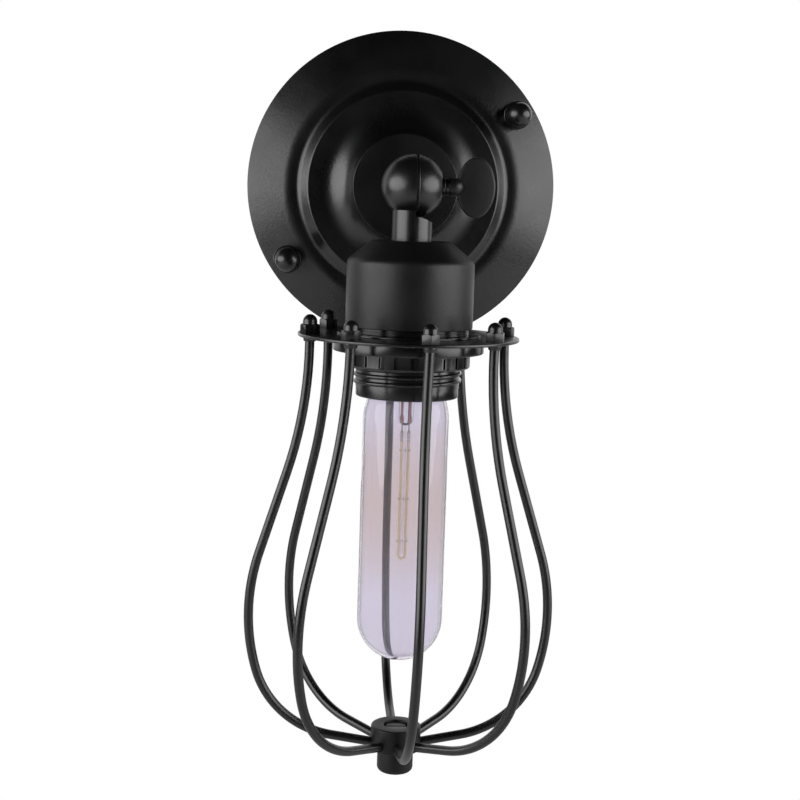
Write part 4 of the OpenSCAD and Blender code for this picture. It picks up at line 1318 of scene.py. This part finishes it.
@dataclass
class CageRods:
    """The eight bent rods with their nuts and collars."""

    count: int = 8
    rod_r: float = 1.75
    phase: float = 1.0
    lean: float = 1.5
    top_r: float = 36.5
    top: float = -50.7
    straight_end: float = -58.6
    flare_r: float = 159.0
    flare_turn: float = 17.4
    flare_len: float = 31.8
    belly_r: float = 78.0
    belly_turn: float = 16.4
    foot_r: float = 36.7
    foot_turn: float = 80.0
    hub_r: float = 9.5
    seat: float = 2.0
    nut_af: float = 6.2
    hex_h: float = 3.4
    dome_r: float = 2.65
    nut_bore_r: float = 1.99
    collar_w: float = 0.5
    collar_h: float = 1.7
    plate_top: float = -54.4
    plate_bottom: float = -55.6

    def bends(self) -> Dict[str, Vector]:
        """The centres of the three bends and the end of the last one, in the rod's plane."""
        a, b, c = (math.radians(v) for v in (self.flare_turn, self.belly_turn, self.foot_turn))
        flare = Vector((self.top_r + self.flare_r, self.straight_end))
        flare_end = flare - self.flare_r * Vector((math.cos(a), math.sin(a)))
        belly_start = flare_end + self.flare_len * Vector((math.sin(a), -math.cos(a)))
        belly = belly_start - self.belly_r * Vector((math.cos(a), math.sin(a)))
        foot_start = belly + self.belly_r * Vector((math.cos(b), -math.sin(b)))
        foot = foot_start - self.foot_r * Vector((math.cos(b), -math.sin(b)))
        end = foot + self.foot_r * Vector((math.cos(c), -math.sin(c)))
        return {"flare": flare, "belly": belly, "foot": foot, "end": end}

    def weld_z(self) -> float:
        """The height at which the rods' middles meet the hub's face."""
        end = self.bends()["end"]
        return end.y - (end.x - self.hub_r) / math.tan(math.radians(self.foot_turn))

    def rod(self) -> bpy.types.Object:
        """One rod in the XZ plane, bent from a straight bar as a bender would."""
        spots = self.bends()
        Bench.clear()
        bpy.ops.mesh.primitive_circle_add(
            vertices=24, radius=self.rod_r * MM, fill_type="NOTHING", location=(self.top_r * MM, 0, self.top * MM)
        )
        piece = bpy.context.object
        Bench.edit(piece, "EDGE")
        bpy.ops.mesh.edge_face_add()
        bpy.ops.mesh.select_all(action="SELECT")
        push = {"value": (0.0, 0.0, (self.straight_end - self.top) * MM)}
        bpy.ops.mesh.extrude_region_move(TRANSFORM_OT_translate=push)
        self._bend(spots["flare"], self.flare_turn, -1.0, 10)
        a = math.radians(self.flare_turn)
        self._push(Vector((math.sin(a), -math.cos(a))) * self.flare_len)
        self._bend(spots["belly"], self.flare_turn + self.belly_turn, 1.0, 18)
        self._bend(spots["foot"], self.foot_turn - self.belly_turn, 1.0, 22)
        c = math.radians(self.foot_turn)
        run = (spots["end"].x - self.hub_r + self.seat) / math.sin(c)
        self._push(Vector((-math.sin(c), -math.cos(c))) * run)
        bpy.ops.mesh.select_all(action="DESELECT")
        bpy.ops.mesh.select_mode(type="FACE")
        bpy.ops.mesh.select_interior_faces()
        bpy.ops.mesh.delete(type="FACE")
        return Bench.tidy(piece)

    def _bend(self, centre: Vector, degrees: float, way: float, steps: int) -> None:
        """Spins the selected end about a bend's centre.

        Args:
            centre: The centre in the rod's plane, in millimetres.
            degrees: How far.
            way: 1 turns it in towards the axis, -1 out.
            steps: How many lengths.
        """
        bpy.ops.mesh.spin(
            steps=steps,
            angle=math.radians(degrees),
            center=(centre.x * MM, 0.0, centre.y * MM),
            axis=(0.0, -way, 0.0),
        )

    def _push(self, run: Vector) -> None:
        """Draws the selected end out straight by a run in the rod's plane, in millimetres."""
        bpy.ops.mesh.extrude_region_move(TRANSFORM_OT_translate={"value": (run.x * MM, 0.0, run.y * MM)})

    def places(self, leaning: bool) -> List[Matrix]:
        """Where each rod, or each rod's nuts, go.

        Args:
            leaning: True for a rod, which leans, and False for its nuts, which stand square.

        Returns:
            One matrix a rod.
        """
        weld = self.weld_z() * MM
        tilt = math.radians(self.lean)
        middle = (self.plate_top + self.plate_bottom) / 2 * MM
        shift = (middle - weld) * math.tan(tilt)
        lean = Matrix.Translation((0, 0, weld)) @ Matrix.Rotation(-tilt, 4, "X") @ Matrix.Translation((0, 0, -weld))
        inner = lean if leaning else Matrix.Translation((self.top_r * MM, shift, 0.0))
        pivot = Matrix.Translation((0.0, -PIVOT_STAND * MM, 0.0))
        turns = [self.phase - 90.0 + 360.0 / self.count * i for i in range(self.count)]
        return [pivot @ Matrix.Rotation(math.radians(t), 4, "Z") @ inner for t in turns]

    def cap_nut(self) -> bpy.types.Object:
        """One acorn nut: a chamfered hexagon with a dome."""
        corner = self.nut_af / math.sqrt(3)
        low = self.plate_top
        hexagon = Bench.prism(6, corner, low, low + self.hex_h, 30.0)
        trim = [
            (0.0, low - 1.0),
            (corner + 0.3, low - 1.0),
            (corner + 0.3, low + self.hex_h - 0.75),
            (corner * 0.88, low + self.hex_h),
            (corner * 0.88, low + self.hex_h + 1.0),
            (0.0, low + self.hex_h + 1.0),
        ]
        Bench.carve(hexagon, Bench.turned(trim, 48, closed=False), "INTERSECT")
        top = low + self.hex_h + 0.9
        dome = [(0.0, low + 0.5), (self.dome_r, low + 0.5), (self.dome_r, top)]
        dome += arc((0.0, top), self.dome_r, 0, 90, 10)[1:]
        Bench.carve(hexagon, Bench.turned(dome, 32, closed=False), "UNION")
        return Bench.soften(hexagon, 0.12, 2, 28.0)

    def collar(self) -> bpy.types.Object:
        """One swaged collar under the plate."""
        high = self.plate_bottom
        outer = self.nut_bore_r + self.collar_w
        outline = eased(
            [
                (self.nut_bore_r, high - self.collar_h, 0.0),
                (self.nut_bore_r + 0.2, high - self.collar_h, 0.08),
                (outer, high - 0.4, 0.15),
                (outer, high, 0.08),
                (self.nut_bore_r, high, 0.0),
            ],
            closed=True,
        )
        return Bench.turned(outline, 32)

    def build(self) -> None:
        """Bends, copies and dresses the rods and their nuts."""
        for i, rod in enumerate(Bench.copies(self.rod(), self.places(True)), 1):
            Bench.done(rod, f"bent_rod_{i}", Body.HEAD, Slot.SATIN, [f"rod_{i}"], 50.0)
        caps = Bench.together(Bench.copies(self.cap_nut(), self.places(False)))
        Bench.done(caps, "acorn_nuts", Body.HEAD, Slot.GLOSS, ["rod_cap_nuts"], 35.0)
        collars = Bench.together(Bench.copies(self.collar(), self.places(False)))
        Bench.done(collars, "swaged_collars", Body.HEAD, Slot.SATIN, ["rod_collars"], 35.0)


@dataclass
class CageHub:
    """The drum in which the rods end, with the small turned foot under it."""

    radius: float = 9.5
    top: float = -203.53
    bottom: float = -212.93
    recess_r: float = 4.75
    recess_h: float = 3.4
    foot_r: float = 6.85
    foot_h: float = 8.8
    foot_round: float = 2.0

    def build(self) -> None:
        """Turns and dresses the drum and the foot."""
        floor = self.top - self.recess_h
        drum = eased(
            [
                (2.25, self.bottom, 0.0),
                (self.radius, self.bottom, 0.7),
                (self.radius, self.top, 0.7),
                (self.recess_r, self.top, 0.4),
                (self.recess_r, floor, 0.3),
                (2.25, floor, 0.0),
            ],
            closed=True,
        )
        hub = Bench.put(Bench.turned(drum, 96), Facing.UP, at_pivot())
        Bench.done(hub, "cage_hub_drum", Body.HEAD, Slot.SATIN, ["cage_hub"], 40.0, DRUM)
        foot = self.bottom - self.foot_h
        outline = eased(
            [
                (0.0, foot, 0.0),
                (self.foot_r, foot, self.foot_round),
                (self.foot_r, self.bottom, 0.15),
                (0.0, self.bottom, 0.0),
            ],
            steps=8,
        )
        finial = Bench.put(Bench.turned(outline, 80, closed=False), Facing.UP, at_pivot())
        Bench.done(finial, "turned_finial", Body.HEAD, Slot.SATIN, ["hub_finial"], 40.0, DRUM)


@dataclass
class TubeBulb:
    """The tubular bulb: its glass, the stem inside and the long filament."""

    radius: float = 16.0
    glass: float = 0.8
    neck_r: float = 12.3
    rim: float = -63.9
    tip: float = -177.6
    shoulder_r: float = 24.0
    mount_tip: float = -87.9
    filament_top: float = -92.9
    filament_len: float = 46.0
    leg_r: float = 1.3
    wire_r: float = 0.55
    neck_len: float = 9.6
    lead_r: float = 0.35
    pinch_r: float = 0.7

    def skin(self, inset: float) -> List[Point2]:
        """The half outline of one face of the glass, from its mouth to its tip."""
        r = self.radius
        bend = self.shoulder_r
        rise = math.sqrt(bend**2 - (bend - r + self.neck_r) ** 2)
        shoulder = self.rim - self.neck_len - rise
        end = math.degrees(math.asin(rise / bend)) * 0.985
        mouth = [(self.neck_r - inset, self.rim + 2.8)]
        curve = arc((r - bend, shoulder), bend - inset, end, 0, 14)
        dome = arc((0.0, self.tip + r), r - inset, 0, -90, 18)
        return mouth + curve + dome

    def envelope(self) -> bpy.types.Object:
        """The blown glass with its inner and outer faces."""
        ring = self.skin(0.0) + self.skin(self.glass)[::-1]
        return Bench.put(Bench.turned(ring, 96), Facing.UP, at_pivot())

    def stem(self) -> bpy.types.Object:
        """The flared glass stem with its pressed tip."""
        outline = eased(
            [
                (0.0, self.rim + 1.0, 0.0),
                (11.5, self.rim + 1.0, 0.2),
                (11.5, self.rim, 0.3),
                (4.6, self.rim - 7.0, 3.0),
                (3.2, self.rim - 12.0, 3.0),
                (3.0, self.mount_tip + 2.6, 0.0),
            ],
            steps=6,
        )
        outline += arc((0.0, self.mount_tip + 2.6), 3.0, 0, -90, 8)[1:]
        piece = Bench.turned(outline, 48, closed=False)
        return Bench.put(piece, Facing.UP, at_pivot())

    def wire(self) -> bpy.types.Object:
        """The filament's long loop, bent from one wire."""
        low = self.filament_top - self.filament_len + self.leg_r
        Bench.clear()
        bpy.ops.mesh.primitive_circle_add(
            vertices=12, radius=self.wire_r * MM, fill_type="NGON", location=(self.leg_r * MM, 0, self.filament_top * MM)
        )
        piece = bpy.context.object
        Bench.edit(piece, "FACE")
        down = (0.0, 0.0, (low - self.filament_top) * MM)
        bpy.ops.mesh.extrude_region_move(TRANSFORM_OT_translate={"value": down})
        bpy.ops.mesh.spin(steps=14, angle=math.pi, center=(0.0, 0.0, low * MM), axis=(0.0, -1.0, 0.0))
        up = (0.0, 0.0, -down[2])
        bpy.ops.mesh.extrude_region_move(TRANSFORM_OT_translate={"value": up})
        bpy.ops.mesh.select_all(action="DESELECT")
        bpy.ops.mesh.select_interior_faces()
        bpy.ops.mesh.delete(type="FACE")
        Bench.tidy(piece)
        return Bench.put(piece, Facing.UP, at_pivot())

    def leads(self) -> bpy.types.Object:
        """The two lead wires, each with the sleeve that pinches the end of the filament."""
        high = self.mount_tip + 0.9
        low = self.filament_top - 1.6
        outline = eased(
            [
                (0.0, high, 0.0),
                (self.lead_r, high, 0.0),
                (self.lead_r, self.filament_top + 2.6, 0.1),
                (self.pinch_r, self.filament_top + 2.0, 0.2),
                (self.pinch_r * 0.82, (self.filament_top + low) / 2, 0.4),
                (self.pinch_r, low, 0.2),
                (0.0, low, 0.0),
            ]
        )
        places = [Matrix.Translation((side * self.leg_r * MM, 0.0, 0.0)) for side in (-1.0, 1.0)]
        piece = Bench.together(Bench.copies(Bench.turned(outline, 20, closed=False), places))
        return Bench.put(piece, Facing.UP, at_pivot())

    def seal_wires(self) -> bpy.types.Object:
        """The red wires that run through the glass of the stem, each with the bead that the pinch grips."""
        low = self.mount_tip + 1.1
        outline = eased(
            [
                (0.0, low, 0.0),
                (0.55, low, 0.2),
                (0.55, low + 1.6, 0.4),
                (self.lead_r, low + 2.6, 0.3),
                (self.lead_r, self.rim - 8.0, 0.1),
                (0.0, self.rim - 8.0, 0.0),
            ]
        )
        places = [Matrix.Translation((side * 0.8 * self.leg_r * MM, 0.0, 0.0)) for side in (-1.0, 1.0)]
        piece = Bench.together(Bench.copies(Bench.turned(outline, 16, closed=False), places))
        return Bench.put(piece, Facing.UP, at_pivot())

    def build(self) -> None:
        """Makes and dresses the bulb's shown pieces."""
        Bench.done(self.envelope(), "tube_glass", Body.BULB, Slot.BULB_GLASS, ["bulb_glass"], 40.0)
        Bench.done(self.stem(), "flared_glass_stem", Body.BULB, Slot.STEM_GLASS, ["bulb_stem"], 40.0)
        Bench.done(self.wire(), "filament_loop", Body.BULB, Slot.FILAMENT, ["filament"], 50.0)
        Bench.done(self.leads(), "pinched_lead_wires", Body.BULB, Slot.NICKEL, ["lead_wires"], 40.0)
        Bench.done(self.seal_wires(), "red_seal_wires", Body.BULB, Slot.NICKEL, [], 40.0, SEAL_WIRE)


@dataclass
class InnerParts:
    """The CAD nodes that stay as they are and only get their finishes."""

    def build(self) -> None:
        """Paints every node by its slot in the record."""
        slots = {row["node"]: Slot(row["material_slot"]) for row in frame["record"]["subparts"]}
        for name, node in frame["nodes"].items():
            material = FINISH_OF[slots[name]].material()
            if not node.material_slots:
                node.data.materials.append(material)
            for holder in node.material_slots:
                holder.material = material
            LOG.info("dressed %s with %s", name, material.name)


@dataclass
class Studio:
    """The floor, the backdrop, the lamps, the world and the camera."""

    eye: Point3 = (-43.91, -612.41, -7.99)
    look: Point3 = (0.0746, 0.9891, -0.1273)
    up: Point3 = (-0.0221, 0.1293, 0.9914)
    lens: float = 67.5
    floor_z: float = -420.0
    shade_near: float = 0.3
    shade_far: float = 0.45
    left_power: float = 12.6
    right_power: float = 11.3
    box_turn: float = 64.0
    box_far: float = 1.05
    box_w: float = 1.4
    box_h: float = 0.8
    box_z: float = 0.08
    rear_far: float = 0.85
    rear_z: float = 0.25
    rear_size: float = 1.2
    rear_power: float = 3.0
    world_light: float = 0.012

    def camera(self) -> None:
        """Stands the camera where the photographer's stood."""
        data = bpy.data.cameras.new("photo_camera")
        data.lens = self.lens
        data.sensor_width = 36.0
        data.clip_start = 0.01
        data.clip_end = 50.0
        made = bpy.data.objects.new("photo_camera", data)
        bpy.context.scene.collection.objects.link(made)
        look = Vector(self.look).normalized()
        right = look.cross(Vector(self.up)).normalized()
        up = right.cross(look)
        turn = Matrix((right, up, -look)).transposed().to_4x4()
        made.matrix_world = Matrix.Translation(Vector(self.eye) * MM) @ turn
        bpy.context.scene.camera = made

    def seen_white(self, graph: Graph, strength: float) -> Tuple[Field, bpy.types.NodeSocket]:
        """A mask of the rays that see the background, and a white glow for them."""
        rays = graph.node("ShaderNodeLightPath").outputs
        mask = Field(graph, rays["Is Camera Ray"]) + Field(graph, rays["Is Transmission Ray"])
        glow = graph.node("ShaderNodeEmission", {}, {"Color": (1.0, 1.0, 1.0, 1.0), "Strength": strength})
        return graph.between(mask, 0.0, 1.0, 0.0, 1.0), glow.outputs[0]

    def floor(self) -> None:
        """A wide pale floor that keeps the light's soft shadow."""
        Bench.clear()
        bpy.ops.mesh.primitive_plane_add(size=12.0, location=(0.0, 0.0, self.floor_z * MM))
        made = bpy.context.object
        made.name = "pale_floor"
        material = bpy.data.materials.new("pale_floor_paint")
        material.use_nodes = True
        graph = Graph(material.node_tree)
        place = graph.node("ShaderNodeTexCoord").outputs["Object"]
        far = graph.node("ShaderNodeVectorMath", {"operation": "LENGTH"}, {0: place}).outputs["Value"]
        away = graph.between(Field(graph, far), self.shade_near, self.shade_far, 0.0, 1.0)
        mask, glow = self.seen_white(graph, 1.0)
        matt = graph.node("ShaderNodeBsdfDiffuse", {}, {"Color": (0.8, 0.8, 0.8, 1.0)}).outputs[0]
        dim = graph.node("ShaderNodeEmission", {}, {"Color": (1.0, 1.0, 1.0, 1.0), "Strength": 0.75}).outputs[0]
        near = graph.node("ShaderNodeAddShader", {}, {0: matt, 1: dim}).outputs[0]
        seen = graph.node("ShaderNodeMixShader", {}, {0: away, 1: near, 2: glow}).outputs[0]
        graph.finish(graph.node("ShaderNodeMixShader", {}, {0: mask, 1: matt, 2: seen}).outputs[0])
        made.data.materials.append(material)

    def world(self) -> None:
        """White where it is seen, and dim where it lights."""
        world = bpy.context.scene.world or bpy.data.worlds.new("studio")
        bpy.context.scene.world = world
        world.use_nodes = True
        graph = Graph(world.node_tree)
        rays = graph.node("ShaderNodeLightPath").outputs
        mask = Field(graph, rays["Is Camera Ray"]) + Field(graph, rays["Is Transmission Ray"])
        mask = graph.between(mask, 0.0, 1.0, 0.0, 1.0)
        dim = graph.node(
            "ShaderNodeBackground", {}, {"Color": (1.0, 1.0, 1.0, 1.0), "Strength": self.world_light}
        ).outputs[0]
        white = graph.node(
            "ShaderNodeBackground", {}, {"Color": (1.0, 1.0, 1.0, 1.0), "Strength": 1.0}
        ).outputs[0]
        mixed = graph.node("ShaderNodeMixShader", {}, {0: mask, 1: dim, 2: white}).outputs[0]
        graph.node("ShaderNodeOutputWorld", {}, {"Surface": mixed})

    def backdrop(self) -> None:
        """The white sheet behind the light, which glossy metal and glass show."""
        Bench.clear()
        bpy.ops.mesh.primitive_plane_add(
            size=1.0, location=(0.0, 1.6, 0.4), rotation=(math.radians(90), 0.0, 0.0), scale=(1.0, 1.0, 1.0)
        )
        made = bpy.context.object
        made.scale = (1.7, 2.6, 1.0)
        made.name = "white_backdrop"
        material = bpy.data.materials.new("white_backdrop_paper")
        material.use_nodes = True
        graph = Graph(material.node_tree)
        rays = graph.node("ShaderNodeLightPath").outputs
        mask = (
            Field(graph, rays["Is Camera Ray"])
            + Field(graph, rays["Is Transmission Ray"])
            + Field(graph, rays["Is Glossy Ray"])
        )
        glow = graph.node("ShaderNodeEmission", {}, {"Color": (1.0, 1.0, 1.0, 1.0), "Strength": 1.0}).outputs[0]
        dark = graph.node("ShaderNodeBsdfDiffuse", {}, {"Color": (0.4, 0.4, 0.4, 1.0)}).outputs[0]
        mask = graph.between(mask, 0.0, 1.0, 0.0, 1.0)
        graph.finish(graph.node("ShaderNodeMixShader", {}, {0: mask, 1: dark, 2: glow}).outputs[0])
        made.data.materials.append(material)

    def lamp(self, name: str, at: Point3, size: Tuple[float, float], power: float) -> None:
        """One softbox that faces the light's middle.

        Args:
            name: The lamp's name.
            at: Its place in metres.
            size: Its width and height in metres.
            power: Its power in watts.
        """
        data = bpy.data.lights.new(name, "AREA")
        data.shape = "ELLIPSE"
        data.size, data.size_y = size
        data.energy = power
        made = bpy.data.objects.new(name, data)
        bpy.context.scene.collection.objects.link(made)
        aim = Vector((0.0, -0.05, -0.1))
        made.visible_camera = False
        made.visible_transmission = False
        made.location = at
        made.rotation_euler = (aim - Vector(at)).to_track_quat("-Z", "Y").to_euler()

    def build(self) -> None:
        """Sets the studio up."""
        bpy.context.scene.view_settings.view_transform = "Standard"
        self.camera()
        self.floor()
        self.backdrop()
        self.world()
        turn = math.radians(self.box_turn)
        for side, name, power in (
            (-1.0, "left_softbox", self.left_power),
            (1.0, "right_softbox", self.right_power),
        ):
            spot = (side * self.box_far * math.sin(turn), -self.box_far * math.cos(turn), self.box_z)
            self.lamp(name, spot, (self.box_w, self.box_h), power)
        for side, name in ((-1.0, "rear_left_softbox"), (1.0, "rear_right_softbox")):
            spot = (side * self.rear_far, self.rear_far, self.rear_z)
            self.lamp(name, spot, (self.rear_size, self.rear_size), self.rear_power)


def main() -> None:
    """Builds the light's sub-assemblies and the studio in order."""
    logging.basicConfig(level=logging.INFO, format="%(name)s %(levelname)s %(message)s")
    builders: Sequence[Any] = (
        InnerParts(),
        WallCanopy(),
        Knuckle(),
        ThumbScrew(),
        SocketCup(),
        LampSocket(),
        CageRing(),
        RetainingRing(),
        CageRods(),
        CageHub(),
        TubeBulb(),
        Studio(),
    )
    for builder in builders:
        LOG.info("building %s", type(builder).__name__)
        builder.build()
    Bench.clear()


if __name__ == "__main__":
    main()
